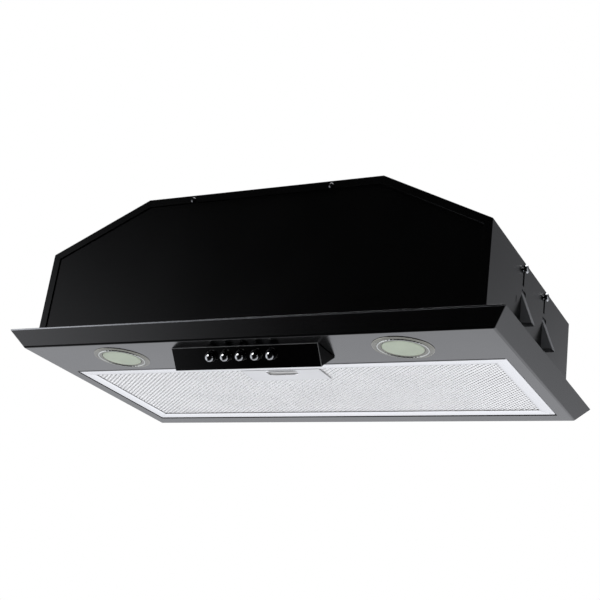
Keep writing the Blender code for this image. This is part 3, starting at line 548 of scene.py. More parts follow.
def plate(name, outlines, low, high, look, place=None):
    """A flat outline, with any holes after it, between two heights along local Z."""
    curve = bpy.data.curves.new(name, "CURVE")
    curve.dimensions = "2D"
    curve.fill_mode = "BOTH"
    curve.extrude = (high - low) / 2
    for outline in outlines:
        spline = curve.splines.new("POLY")
        spline.points.add(len(outline) - 1)
        for point, (x, y) in zip(spline.points, outline):
            point.co = (x, y, 0.0, 1.0)
        spline.use_cyclic_u = True
    bm = welded(curve)
    bmesh.ops.dissolve_limit(bm, angle_limit=math.radians(1), verts=bm.verts, edges=bm.edges)
    bmesh.ops.translate(bm, verts=bm.verts, vec=(0, 0, (low + high) / 2))
    return from_bmesh(name, bm, look, place)


def meshed(obj):
    """The mesh that an object's curve or modifiers make."""
    bpy.context.view_layer.update()
    graph = bpy.context.evaluated_depsgraph_get()
    return bpy.data.meshes.new_from_object(obj.evaluated_get(graph))


def welded(curve):
    """A curve's mesh, with its caps joined on."""
    obj = bpy.data.objects.new(curve.name, curve)
    bpy.context.scene.collection.objects.link(obj)
    bm = bmesh.new()
    bm.from_mesh(meshed(obj))
    bpy.data.objects.remove(obj, do_unlink=True)
    bmesh.ops.remove_doubles(bm, verts=bm.verts, dist=WELD)
    return bm


def tube(name, points, radius, look, smooth=True):
    """A wire on a curve through points, with closed ends."""
    curve = bpy.data.curves.new(name, "CURVE")
    curve.dimensions = "3D"
    curve.bevel_depth = radius
    curve.bevel_resolution = 4
    curve.use_fill_caps = True
    spline = curve.splines.new("BEZIER" if smooth else "POLY")
    places = spline.bezier_points if smooth else spline.points
    places.add(len(points) - 1)
    for point, where in zip(places, points):
        point.co = where if smooth else (*where, 1.0)
        if smooth:
            point.handle_left_type = point.handle_right_type = "AUTO"
    bm = welded(curve)
    return closed_shape(name, bm, look)


def carved(obj, *cutters):
    """The object with the cutters' shapes taken away."""
    look = obj.data.materials[0]
    for cutter in cutters:
        modifier = obj.modifiers.new("cut", "BOOLEAN")
        modifier.object = cutter
    mesh = meshed(obj)
    obj.modifiers.clear()
    for cutter in cutters:
        bpy.data.objects.remove(cutter, do_unlink=True)
    mesh.materials.clear()
    mesh.materials.append(look)
    mesh.set_sharp_from_angle(angle=math.radians(30))
    obj.data = mesh
    return obj


def block(name, low, high, look, place=None):
    low, high = Vector(low), Vector(high)
    section = [(low.x, low.y), (high.x, low.y), (high.x, high.y), (low.x, high.y)]
    return prism(name, section, low.z, high.z, look, place)


def face_width(face):
    """About the narrower side of a face: the thickness of a sheet's cut edge, for instance."""
    return 2 * face.calc_area() / face.calc_perimeter()


def refined(node, fold=0.0008, rim=0.0002, sheet=0.0024, segments=3, look=None):
    """A copy of a CAD node with its folds and its cut edges rounded."""
    bm = bmesh.new()
    bm.from_mesh(NODES[node].data)
    bmesh.ops.remove_doubles(bm, verts=bm.verts, dist=CAD_WELD)
    bmesh.ops.dissolve_limit(bm, angle_limit=math.radians(2), verts=bm.verts, edges=bm.edges)
    weight = bm.edges.layers.float.new("bevel_weight_edge")
    for edge in bm.edges:
        if len(edge.link_faces) == 2 and edge.calc_face_angle() > math.radians(28):
            cut_edge = min(face_width(face) for face in edge.link_faces) < sheet
            edge[weight] = rim / fold if cut_edge else (1.0 if edge.is_convex else 0.4)
    obj = from_bmesh(f"{node}_fine", bm, look or SLOT_OF[node], sharp=50)
    return stands_for(bevel(obj, fold, segments, limit="WEIGHT"), node)


# Screws


def crossed(obj, place, reach, half, bottom, top):
    """A screw with a cross recess, whose arms have a reach, a half width and two heights."""
    arms = ((reach, half), (half, reach))
    return carved(obj, *(block("cross", (-x, -y, bottom), (x, y, top), "chrome", place) for x, y in arms))


def screw(name, place, node, head=0.0034, rise=0.0019, length=0.007, look="zinc"):
    """A pan head screw, its head's underside at the place and its shank behind."""
    shank = 0.0015
    dome = [(0.0, 1.0), (0.45, 0.96), (0.8, 0.72), (1.0, 0.3), (1.0, 0.0)]
    dome = [(head * out, rise * up) for out, up in dome]
    stem = [(shank, 0.0), (shank, -length), (shank * 0.6, -length - 0.0006), (0.0, -length - 0.0008)]
    obj = turned(name, dome + stem, look, place, 48, radius=0.0002)
    return goes_with(crossed(obj, place, head * 0.58, head * 0.11, rise * 0.45, rise * 2), node)


# Sheet metal


def sheet_metal():
    refined("canopy_tray", fold=0.0011, rim=0.00025)
    refined("housing_wrap", fold=0.0012, rim=0.00025)
    refined("front_panel", fold=0.001, rim=0.0002)
    refined("rear_panel", fold=0.001, rim=0.0002)
    refined("filter_seat", fold=0.0006)
    low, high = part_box("housing_wrap")
    for side, name in SIDES:
        for end, y, end_name, look in ((-1, low.y, "front", "dark_zinc"), (1, high.y, "rear", "zinc")):
            place = along((0, end, 0), (side * PANEL_SCREW_X, y + end * CLOSE, high.z - PANEL_SCREW_DROP))
            screw(f"{end_name}_screw_{name}", place, "housing_wrap", 0.0027, 0.0013, look=look)
        for level in REAR_SCREW_LEVELS:
            place = along((0, 1, 0), (side * (high.x - 0.0045), high.y + CLOSE, level))
            screw(f"rear_screw_{name}_{round(level * 1000)}", place, "housing_wrap")


def rim_shade_and_highlight():
    """A black strip painted as the shade line at the foot of the rim's front face, a bright metal strip
    painted as the highlight along its top edge, and a black strip painted as the shade line in front of the
    filter.
    """
    low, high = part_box("canopy_tray")
    corner = Vector((low.y + RIM_SLOPE, low.z))
    slope = Vector((-RIM_SLOPE, high.z - low.z))
    rise = slope.normalized()
    out = Vector((-rise.y, rise.x))
    proud, sunk, side_gap = 0.0001, 0.0004, 0.0008

    def strip(name, start, end, look):
        """A thin strip between two distances up the slope."""
        spots = ((start, proud), (end, proud), (end, -sunk), (start, -sunk))
        section = [corner + rise * up + out * off for up, off in spots]
        half = high.x - RIM_SLOPE * (1 - start / slope.length) - side_gap
        return bevel(prism(name, section, -half, half, look, ALONG_X), 0.0001, 2)

    # A black strip painted as the shade line at the foot of the rim's front face
    goes_with(strip("rim_groove", 0.0005, 0.0021, "box_black"), "canopy_tray")
    # A bright metal strip painted as the highlight along the rim's top edge
    goes_with(strip("rim_line", slope.length - 0.0014, slope.length - 0.0001, "lit_edge"), "canopy_tray")
    frame_low, frame_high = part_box("filter_frame")
    side, front = frame_high.x, frame_low.y - 0.001
    # A black strip painted as the shade line in front of the filter
    shade_strip = block("filter_seal", (-side, front - 0.0019, low.z - 0.00015), (side, front, low.z + 0.0004),
                 "black_plastic")
    goes_with(bevel(shade_strip, 0.00012, 2), "canopy_tray")


# Side clips and their clamp screws


def side_clips():
    for side, side_name in SIDES:
        for end in ("front", "rear"):
            name = f"{side_name}_{end}"
            refined(f"side_clip_{name}", fold=0.0006, rim=0.0002, look="grey_coat")
            clip_foot(name, side)
            clamp_screw(name, side)


def clip_foot(name, side):
    """A narrow hem turned down along the foot's three free edges."""
    node = f"side_clip_{name}"
    low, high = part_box(node)
    tip = high.x if side > 0 else low.x
    root = side * (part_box("housing_wrap")[1].x + 0.001)
    foot = MOUNTS[f"clip_foot_{name}"].z
    half, hem, drop = 0.0055, 0.0007, 0.0013

    def corners(end_x, reach):
        y = (low.y + high.y) / 2
        return [(root, y - reach), (end_x, y - reach), (end_x, y + reach), (root, y + reach)]

    outline = corners(tip, half) + corners(tip - side * hem, half - hem)[::-1]
    obj = prism(f"clip_hem_{name}", outline, foot - drop, foot + 0.0002, "grey_coat")
    goes_with(bevel(obj, 0.00018, 2), node)


def clamp_screw(name, side):
    """A bolt with a collar under its round head and a cut thread, and a nut behind the wall."""
    node = f"clamp_screw_{name}"
    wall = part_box("housing_wrap")[1].x
    centre = middle(node)
    place = along((side, 0, 0), (side * wall, centre.y, centre.z))
    head = half_size(node).z
    shaft, thread, pitch = 0.0016, 0.00022, 0.001
    profile = [(0.0, 0.0042), (head * 0.5, 0.0041), (head * 0.85, 0.0035), (head, 0.0026), (head, 0.0019)]
    profile += [(head * 0.97, 0.0017), (0.0024, 0.0017), (0.0024, 0.0009), (shaft, 0.0009)]
    for i in range(6):
        start = -0.0004 - i * pitch
        profile += [(shaft, start), (shaft + thread, start - 0.0003), (shaft, start - 0.0006)]
    profile += [(shaft * 0.7, -0.007), (0.0, -0.007)]
    bolt = turned(f"clamp_bolt_{name}", profile, "zinc", place, 64, radius=0.00012)
    stands_for(crossed(bolt, place, 0.0024, 0.00045, 0.0031, 0.008), node)
    nut = [(0.0017, -0.003), (0.0036, -0.003), (0.0036, -0.0052), (0.0017, -0.0052)]
    goes_with(turned(f"clamp_nut_{name}", nut, "galvanised_steel", place, 6, True, 0.0002, 20), node)


# Duct collar and check flaps


def duct_collar():
    """The collar with a bead near its mouth and a stop ledge inside, its ribs, screws and flaps."""
    low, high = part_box("duct_collar")
    base = Matrix.Translation((0, (low.y + high.y) / 2, low.z))
    flange, rise = (high.x - low.x) / 2, high.z - low.z
    wall = flange - 0.01
    bore, ledge = wall - 0.0022, wall - 0.0055
    groove = wall - 0.0006
    outside = [(wall - 0.001, rise), (wall, rise - 0.0012), (wall, rise - 0.006), (groove, rise - 0.0066),
               (groove, rise - 0.0084), (wall, rise - 0.009), (wall, 0.004), (wall + 0.0014, 0.0022),
               (flange - 0.0004, 0.002), (flange, 0.0015), (flange, 0.0)]
    inside = [(bore, 0.0), (bore, 0.0059), (ledge, 0.0059), (ledge, 0.0074), (bore, 0.0074), (bore, rise)]
    stands_for(turned("collar", outside + inside, "black_plastic", base, 160, True, 0.0004), "duct_collar")
    collar_ribs(base, wall, flange)
    check_damper(wall)


def collar_ribs(base, wall, flange):
    """Eight ribs between the collar and its flange, and four screws between them."""
    rib = [(wall - 0.0006, 0.001), (flange - 0.003, 0.001), (flange - 0.003, 0.0026), (wall + 0.001, 0.012),
           (wall - 0.0006, 0.012)]
    stand = Matrix.Rotation(QUARTER, 4, "X")
    bm = bmesh.new()
    for i in range(8):
        extrude(bm, rib, -0.0008, 0.0008, base @ Matrix.Rotation(math.tau * (i + 0.5) / 8, 4, "Z") @ stand)
    goes_with(bevel(closed_shape("collar_ribs", bm, "black_plastic"), 0.00025, 2), "duct_collar")
    for i in range(4):
        turn = base @ Matrix.Rotation(math.tau * (i + 0.5) / 4 + math.tau / 16, 4, "Z")
        place = turn @ Matrix.Translation((wall + 0.0052, 0, 0.0022))
        screw(f"collar_screw_{i}", place, "duct_collar", 0.003, 0.0016, length=0.003)


def check_damper(wall):
    """The pin across the collar, the bosses that hold its ends, and the two flaps on it."""
    pin = middle("damper_pin")
    boss = [(0.0, 0.0022), (0.0028, 0.0022), (0.0034, 0.0016), (0.0034, -0.0008), (0.0, -0.0008)]
    for side, name in SIDES:
        place = along((side, 0, 0), (side * wall, pin.y, pin.z))
        goes_with(turned(f"pin_boss_{name}", boss, "black_plastic", place, 48), "duct_collar")
    size = half_size("damper_pin")
    half, radius = size.x, size.z
    bar = [(0.0, half), (radius - 0.0003, half), (radius, half - 0.0004), (radius, 0.0004 - half),
           (radius - 0.0003, -half), (0.0, -half)]
    stands_for(turned("pin", bar, "galvanised_steel", along((1, 0, 0), pin), 32), "damper_pin")
    for end in ("front", "rear"):
        refined(f"damper_flap_{end}", fold=0.0004, rim=0.0003, sheet=0.0008)


# Blower


def axle(at):
    """Local Z along the wheel's axis, to the right, from a point on it."""
    centre = middle("fan_hub")
    return Matrix.Translation((at, centre.y, centre.z)) @ Matrix.Rotation(QUARTER, 4, "Y")


def fan_wheel():
    """The hub and its disc with a pressed ring, and a blade cage on each side of it."""
    size = half_size("fan_hub")
    half, reach, disc = size.x, size.z, 0.0007
    hub = [(0.0043, half), (0.0078, half), (0.009, half - 0.0012), (0.009, 0.0022), (0.011, disc)]
    raised = disc + 0.0016
    web = [(reach * 0.4, disc), (reach * 0.46, raised), (reach * 0.72, raised), (reach * 0.78, disc),
           (reach - 0.0003, disc)]
    under = [(radius, height - 2 * disc) for radius, height in web[::-1]]
    foot = [(0.011, -disc), (0.009, -0.0022), (0.009, -half), (0.0043, -half)]
    wheel = turned("wheel_hub", hub + web + under + foot, "galvanised_steel", axle(0), 128, True, 0.0004)
    stands_for(wheel, "fan_hub")
    for _, name in SIDES:
        blade_cage(f"fan_blades_{name}", reach)


def blade_cage(node, reach):
    """Curved blades between a rolled end ring and a flat ring beside the disc."""
    low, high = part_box(node)
    near, far = sorted((low.x, high.x), key=abs)
    inner = reach - RING_WIDTH
    width, bulge, thick, count = 0.0084, 0.0016, 0.0003, 8
    arc = [((i / count - 0.5) * width, bulge * (0.5 - (2 * i / count - 1) ** 2)) for i in range(count + 1)]
    section = [(x, y - thick) for x, y in arc] + [(x, y + thick) for x, y in arc[::-1]]
    lean = Matrix.Translation((reach - RING_WIDTH / 2 - 0.0002, 0, 0)) @ Matrix.Rotation(BLADE_LEAN, 4, "Z")
    bm = bmesh.new()
    for i in range(BLADES):
        place = axle(0) @ Matrix.Rotation(math.tau * (i + 0.5) / BLADES, 4, "Z") @ lean
        extrude(bm, section, low.x + 0.0004, high.x - 0.0004, place)
    stands_for(closed_shape(f"{node}_fine", bm, "galvanised_steel"), node)
    out = 1 if far > 0 else -1
    flat = [(reach, 0.0), (reach, 0.001), (inner, 0.001), (inner, 0.0)]
    rolled = [(reach, 0.003), (reach, 0.0008), (reach - 0.0008, 0.0), (inner + 0.0006, 0.0), (inner, 0.0006),
              (inner, 0.0012), (reach - 0.001, 0.0012), (reach - 0.001, 0.003)]
    for part, start, way, shape in (("inner", near, out, flat), ("end", far, -out, rolled)):
        profile = [(radius, start + way * depth) for radius, depth in shape]
        ring = turned(f"{node}_{part}_ring", profile, "galvanised_steel", axle(0), 128, True, 0.0002)
        goes_with(ring, node)


def blower_casing():
    """The spiral band and the two side plates with a rolled inlet ring each."""
    refined("blower_band", fold=0.0004, rim=0.0002)
    lip = [(0.043, 0.0), (0.0444, 0.0), (0.0436, -0.0016), (0.0428, -0.003), (0.0418, -0.003),
           (0.0424, -0.0014)]
    for side, name in SIDES:
        node = f"blower_side_{name}"
        refined(node, fold=0.0005, rim=0.0002)
        inner_face = min((corner.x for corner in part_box(node)), key=abs)
        profile = [(radius, side * height) for radius, height in lip]
        place = axle(inner_face)
        goes_with(turned(f"inlet_ring_{name}", profile, "galvanised_steel", place, 128, True, 0.0003), node)


# Motor


def motor():
    """The motor's drawn cup, end bell, core, windings, bearings and shaft, and the bracket that holds it."""
    low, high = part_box("motor_case")
    radius, depth = (high.z - low.z) / 2, high.x - low.x
    wall, waist = radius - 0.0015, radius - 0.0006
    case = [(radius, depth), (radius, depth - 0.006), (waist, depth - 0.0066), (waist, depth - 0.0092),
            (radius, depth - 0.0098), (radius, 0.003), (radius - 0.0028, 0.0), (0.0125, 0.0), (0.0083, 0.0),
            (0.0083, 0.007), (0.011, 0.007), (0.011, 0.002), (wall - 0.002, 0.002), (wall, 0.004),
            (wall, depth)]
    stands_for(turned("motor_cup", case, "galvanised_steel", axle(low.x), 128, True, 0.0004), "motor_case")
    refined("motor_end_bell", fold=0.0007, rim=0.0003, segments=4)
    refined("motor_bracket", fold=0.0004, rim=0.0003)
    for node in ("motor_stator", "motor_rotor"):
        refined(node, fold=0.0004)
    inner_face, outer_face = (corner.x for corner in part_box("motor_stator"))
    winding("winding_inner", inner_face, -1)
    winding("winding_outer", outer_face, 1)
    for end in ("inner", "outer"):
        bearing(f"motor_bearing_{end}")
    low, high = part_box("motor_shaft")
    shaft, chamfer = (high.z - low.z) / 2, 0.0005
    bar = [(0.0, high.x), (shaft - chamfer, high.x), (shaft, high.x - 0.0006), (shaft, low.x + 0.0006),
           (shaft - chamfer, low.x), (0.0, low.x)]
    stands_for(turned("shaft", bar, "chrome", axle(0), 64), "motor_shaft")
    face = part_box("motor_bracket")[1].x
    for i in range(3):
        turn = axle(face + CLOSE) @ Matrix.Rotation(math.radians(30 + 120 * i), 4, "Z")
        place = turn @ Matrix.Translation((0.0475, 0, 0))
        screw(f"bracket_screw_{i}", place, "motor_bracket", length=0.0035)


def winding(name, face, out):
    """The copper that stands out of one end of the stator, pinched between its eight poles."""
    coil = [(0.027, 0.0), (0.0274, out * 0.0016), (0.0262, out * 0.003), (0.0215, out * 0.0032),
            (0.0196, out * 0.002), (0.0196, 0.0)]
    obj = turned(name, coil, "copper", axle(face), 192, True, 0.0006)
    for vert in obj.data.vertices:
        vert.co.z *= 1 - 0.25 * math.cos(8 * math.atan2(vert.co.y, vert.co.x)) ** 2
    goes_with(obj, "motor_stator")


def bearing(node):
    """Two rings with a sunk shield between them."""
    low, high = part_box(node)
    outer, width, bore = (high.z - low.z) / 2, high.x - low.x, 0.0043
    shield = width - 0.0004
    face = [(outer, width), (outer - 0.001, width), (outer - 0.0012, shield), (bore + 0.0011, shield),
            (bore + 0.0009, width), (bore, width)]
    profile = face + [(radius, width - height) for radius, height in face[::-1]]
    stands_for(turned(f"{node}_fine", profile, "chrome", axle(low.x), 64, True, 0.0002), node)


# Electrics


def electrics():
    junction_box()
    cable_gland()
    capacitor()
    leads()


def junction_box():
    """The box and its lid with two screws."""
    refined("junction_box", fold=0.0014, rim=0.0003, sheet=0.0018)
    refined("junction_lid", fold=0.0006, rim=0.0004, sheet=0.0018)
    low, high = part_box("junction_lid")
    edge = 0.006
    for i, (x, y) in enumerate(((low.x + edge, low.y + edge), (high.x - edge, high.y - edge))):
        place = along((0, 0, -1), (x, y, low.z - CLOSE))
        screw(f"lid_screw_{i}", place, "junction_lid", 0.003, 0.0016, length=0.006)


def cable_gland():
    """A hollow body through the body's top, with a nut at its foot and a cap nut."""
    centre = middle("cable_gland")
    place = Matrix.Translation((centre.x, centre.y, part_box("cable_gland")[1].z - 0.014))
    body = [(0.0045, 0.014), (0.0062, 0.014), (0.0078, 0.0128), (0.0084, 0.0112), (0.0086, 0.004),
            (0.0072, 0.0034), (0.0072, -0.011), (0.0045, -0.011)]
    stands_for(turned("gland_body", body, "black_plastic", place, 72, True, 0.0004), "cable_gland")
    for name, radius, start, end in (("base", 0.0115, 0.0, 0.0033), ("cap", 0.0098, 0.0046, 0.0104)):
        nut = [(radius, start), (radius, end), (0.007, end), (0.007, start)]
        obj = turned(f"gland_{name}_nut", nut, "black_plastic", place, 6, True, 0.0005, 20)
        goes_with(obj, "cable_gland")


def capacitor():
    """The can with a rolled rim, its two tabs and its strap."""
    node = "run_capacitor"
    size = half_size(node)
    half, radius = size.x, size.z
    place = along((1, 0, 0), middle(node))
    can = [(0.0, half - 0.001), (radius - 0.003, half - 0.001), (radius - 0.0024, half),
           (radius - 0.0008, half), (radius, half - 0.001), (radius, 0.0018 - half),
           (radius - 0.0018, -half), (0.0, -half)]
    stands_for(turned("capacitor_can", can, "white_plastic", place, 96, radius=0.0006), node)
    for i, y in enumerate((-0.004, 0.004)):
        start, end = (y - 0.0004, -0.0024, half - 0.0012), (y + 0.0004, 0.0024, half + 0.0058)
        tab = block(f"capacitor_tab_{i}", start, end, "chrome", place)
        goes_with(bevel(tab, 0.00015, 2), node)
    refined("capacitor_strap", fold=0.0004, rim=0.0002)


def leads():
    """The wires inside the hood, along the same routes as in the CAD model."""
    motor_run = [(-0.0605, 0.1, 0.115), (-0.04, 0.1, 0.116), (0.03, 0.098, 0.11), (0.072, 0.07, 0.1),
                 (0.078, 0.01, 0.085), (0.068, -0.018, 0.078), (0.0625, -0.0065, 0.0785)]
    stands_for(tube("motor_wire", motor_run, 0.0022, "wire_jacket"), "motor_lead")
    for side, name in SIDES:
        lamp_run = [(0.049, -0.094, -0.002), (0.075, -0.088, 0.004), (0.105, -0.078, 0.012),
                    (0.135, -0.085, 0.024), (0.1515, -0.094, 0.0165)]
        lamp_run = [(side * x, y, z) for x, y, z in lamp_run]
        stands_for(tube(f"lamp_wire_{name}", lamp_run, 0.0016, "wire_jacket"), f"lamp_lead_{name}")


# Lamps


def lamps():
    """Each lamp's bezel with its two beads, its frosted glass and the parts behind them."""
    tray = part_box("canopy_tray")[0].z
    barrel, inner = 0.024, 0.0222
    for _, side in SIDES:
        node = f"lamp_bezel_{side}"
        centre, flange = middle(node), half_size(node).x
        place = Matrix.Translation((centre.x, centre.y, tray))
        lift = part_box(node)[1].z - tray
        glass = flange - 0.0086
        outer_ring = [(barrel, lift), (barrel, -0.0001), (flange, -0.0001), (flange - 0.0003, -0.0004),
                      (flange - 0.003, -0.0009), (flange - 0.0042, -0.0011), (flange - 0.0046, -0.0009)]
        inner_ring = [(flange - 0.0052, -0.0009), (flange - 0.0058, -0.0012), (glass + 0.0008, -0.0012),
                      (glass, -0.0009), (glass, -0.0002), (inner, -0.0002), (inner, lift)]
        stands_for(turned(f"bezel_{side}", outer_ring + inner_ring, "lamp_bezel", place, 144, True), node)
        rope_ring(f"bezel_bead_{side}", flange - 0.0051, 0.00075, -0.0011, place, node, "glint_chrome")
        rope_ring(f"bezel_edge_{side}", flange - 0.0003, 0.00026, -0.0003, place, node, "bezel_line")
        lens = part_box(f"lamp_lens_{side}")[1].x - centre.x
        pane = [(0.0, -0.0014), (glass * 0.6, -0.00138), (glass - 0.0008, -0.0013), (glass - 0.0002, -0.0009),
                (glass - 0.0002, 0.0005), (lens, 0.0005), (lens, 0.0022), (0.0, 0.0022)]
        shape = turned(f"lens_{side}", pane, "frosted_glass", place, 144, radius=0.0004)
        stands_for(shape, f"lamp_lens_{side}")
        lamp_back(side, place, barrel, inner)


def rope_ring(name, radius, thick, height, place, node, look):
    """A bead rolled round a lamp's bezel, slightly uneven like a rope."""
    bm = bmesh.new()
    twists, across = 40, 10
    around = twists * 6
    rings = []
    for i in range(around):
        turn = math.tau * i / around
        bulge = thick * (1 + 0.16 * math.sin(twists * turn))
        ring = []
        for j in range(across):
            tilt = math.tau * j / across
            out, up = radius + bulge * math.cos(tilt), bulge * math.sin(tilt)
            ring.append(bm.verts.new((out * math.cos(turn), out * math.sin(turn), height + up)))
        rings.append(ring)
    for ring, following in zip(rings, rings[1:] + rings[:1]):
        for j in range(across):
            k = (j + 1) % across
            bm.faces.new((ring[j], following[j], following[k], ring[k]))
    goes_with(closed_shape(name, bm, look, place, 60), node)


def lamp_back(side, place, barrel, inner):
    """The reflector cup and the module that shines through the glass."""
    cup = [(barrel, 0.02), (barrel, 0.0103), (inner, 0.0103), (inner, 0.019), (0.019, 0.0232),
           (0.016, 0.0268), (0.003, 0.0268), (0.003, 0.028), (0.0165, 0.028), (0.02, 0.0242)]
    stands_for(turned(f"cup_{side}", cup, "aluminium", place, 96, True, 0.0004), f"lamp_cup_{side}")
    board = [(0.0, 0.0185), (0.005, 0.0185), (0.005, 0.016), (0.019, 0.016), (0.019, 0.014), (0.008, 0.014),
             (0.0074, 0.0134), (0.005, 0.013), (0.0, 0.0129)]
    stands_for(turned(f"led_{side}", board, "led", place, 96, radius=0.0002), f"lamp_led_{side}")


# Controls


def controls():
    """The control box, a grey tube painted as the highlight on its fascia's edge, and its keys, with a light
    that reaches only the keys.
    """
    refined("control_fascia", fold=0.0009, rim=0.0003, sheet=0.0005, segments=4)
    refined("control_housing", fold=0.0009, rim=0.0003, sheet=0.001, segments=4, look="box_black")
    refined("switch_block", fold=0.0005)
    fascia_edge()
    keys = [push_button(i + 1) for i in range(BUTTONS)]
    only_lights(softbox("key_light", (-0.58, -1.39, 0.25), (0, -0.13, -0.03), 0.9, KEY_POWER), keys)


def fascia_edge():
    """A grey tube along the top and the right end of the fascia, painted as the highlight on its edge."""
    points = [vert.co for vert in NODES["control_fascia"].data.vertices]
    face = max(point.dot(FASCIA_NORMAL) for point in points)
    front = [point for point in points if point.dot(FASCIA_NORMAL) > face - 0.00005]
    top = max(front, key=lambda point: point.z)
    foot = min(front, key=lambda point: point.z)
    left, right = min(point.x for point in front), max(point.x for point in front)
    corners = [(left + 0.0006, top), (right - 0.0003, top), (right - 0.0003, foot)]
    run = [Vector((x, point.y, point.z)) - FASCIA_NORMAL * 0.0003 for x, point in corners]
    goes_with(tube("fascia_edge", run, 0.0004, "worn_edge", smooth=False), "control_fascia")


def push_button(number):
    """A domed key on its stem, and the dark ring round it."""
    node = f"push_button_{number}"
    points = [vert.co for vert in NODES[node].data.vertices]
    tip = max(point.dot(FASCIA_NORMAL) for point in points)
    centre = sum(points, Vector()) / len(points)
    place = along(FASCIA_NORMAL, centre + FASCIA_NORMAL * (tip - KEY_RISE - centre.dot(FASCIA_NORMAL)))
    dome = [(0.0, KEY_RISE), (0.0014, 0.00785), (0.0027, 0.0073), (0.0037, 0.0064), (0.0044, 0.0051),
            (0.0046, 0.004), (0.0043, 0.0026), (0.0036, 0.0018)]
    stem = [(0.0036, -0.0003), (0.0022, -0.0005), (0.0022, -0.008), (0.0, -0.008)]
    key = stands_for(turned(f"key_{number}", dome + stem, "key_chrome", place, 72), node)
    ring = [(0.0037, 0.0016), (0.0046, 0.0017), (0.0053, 0.0012), (0.0055, 0.0006), (0.0055, -0.0005),
            (0.0037, -0.0005)]
    goes_with(turned(f"key_ring_{number}", ring, "gloss_black", place, 72, True), node)
    return key


# Filter


def filter_frame():
    """Four channel rails with mitred corners, a notch for the latch's tongue and two hooks behind."""
    low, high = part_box("filter_frame")
    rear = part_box("filter_mesh")[1].y + FILTER_WALL + CLOSE
    deep, wide = high.z - low.z, FILTER_RAIL
    section = [(wide, deep), (0.0, deep), (0.0, 0.0007), (0.0007, 0.0), (wide - 0.0034, 0.0),
               (wide - 0.0005, 0.0004), (wide, 0.0007), (wide - 0.0002, 0.001), (wide - 0.0036, 0.0008),
               (0.001, 0.0008), (0.001, deep - 0.0008), (wide, deep - 0.0008)]
    corners = [Vector((low.x, low.y)), Vector((high.x, low.y)), Vector((high.x, rear)), Vector((low.x, rear))]
    bm = bmesh.new()
    for start, end in zip(corners, corners[1:] + corners[:1]):
        run = (end - start).normalized()
        inward = Vector((-run.y, run.x))
        rings = []
        for corner, way in ((start, run), (end, -run)):
            spots = [corner + inward * u + way * (u + 0.00005) for u, _ in section]
            rings.append([bm.verts.new((*spot, low.z + z)) for spot, (_, z) in zip(spots, section)])
        bridge(bm, *rings)
    rails = closed_shape("filter_rails", bm, "aluminium")
    notch = TONGUE_HALF + 0.0007
    start, end = (-notch, low.y - 0.002, low.z + 0.0012), (notch, low.y + 0.0025, low.z + 0.0038)
    notched = carved(rails, block("notch", start, end, "aluminium"))
    stands_for(bevel(notched, 0.00025, 3, 40), "filter_frame")
    tray_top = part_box("canopy_tray")[0].z + 0.001
    for side, name in SIDES:
        x, half = side * 0.15, 0.01
        start, end = (x - half, rear - 0.0005, tray_top + CLOSE), (x + half, high.y, tray_top + 0.0013)
        hook = block(f"rear_hook_{name}", start, end, "black_plastic")
        goes_with(bevel(hook, 0.0003), "filter_frame")


def expanded_sheet(bm, low, high, height):
    """Slit and stretched sheet inside a rectangle: tilted strands round diamond holes."""
    half = Vector((DIAMOND_WIDE / 2, DIAMOND_DEEP / 2))
    margin = STRAND * 0.62
    reach = Vector((half.x - margin, half.y - margin))
    columns = range(math.floor(low[0] / DIAMOND_WIDE) - 1, math.ceil(high[0] / DIAMOND_WIDE) + 2)
    rows = range(math.floor(low[1] / half.y) - 1, math.ceil(high[1] / half.y) + 2)
    holes = {}
    for j in rows:
        for i in columns:
            place = Vector((i * DIAMOND_WIDE + (j % 2) * half.x, j * half.y, height))
            corners = ((reach.x, 0, 0), (0, reach.y, -LIFT), (-reach.x, 0, 0), (0, -reach.y, LIFT))
            holes[i, j] = [bm.verts.new(place + Vector(corner)) for corner in corners]
    made = []
    for (i, j), (right, top, left, _) in holes.items():
        odd = j % 2
        upper_right, upper_left = holes.get((i + odd, j + 1)), holes.get((i + odd - 1, j + 1))
        lower_right, beside = holes.get((i + odd, j - 1)), holes.get((i + 1, j))
        if upper_right:
            made.append(bm.faces.new((right, upper_right[3], upper_right[2], top)))
        if upper_left:
            made.append(bm.faces.new((top, upper_left[0], upper_left[3], left)))
        if upper_right and lower_right and beside:
            made.append(bm.faces.new((right, lower_right[1], beside[2], upper_right[3])))
    sides = ((Vector((low[0], 0, 0)), (-1, 0, 0)), (Vector((high[0], 0, 0)), (1, 0, 0)))
    ends = ((Vector((0, low[1], 0)), (0, -1, 0)), (Vector((0, high[1], 0)), (0, 1, 0)))
    for point, normal in sides + ends:
        verts = {vert for face in made for vert in face.verts}
        edges = {edge for face in made for edge in face.edges}
        cut = bmesh.ops.bisect_plane(bm, geom=[*verts, *edges, *made], plane_co=point, plane_no=normal,
                                     clear_outer=True)
        made = [item for item in cut["geom"] if isinstance(item, bmesh.types.BMFace)]


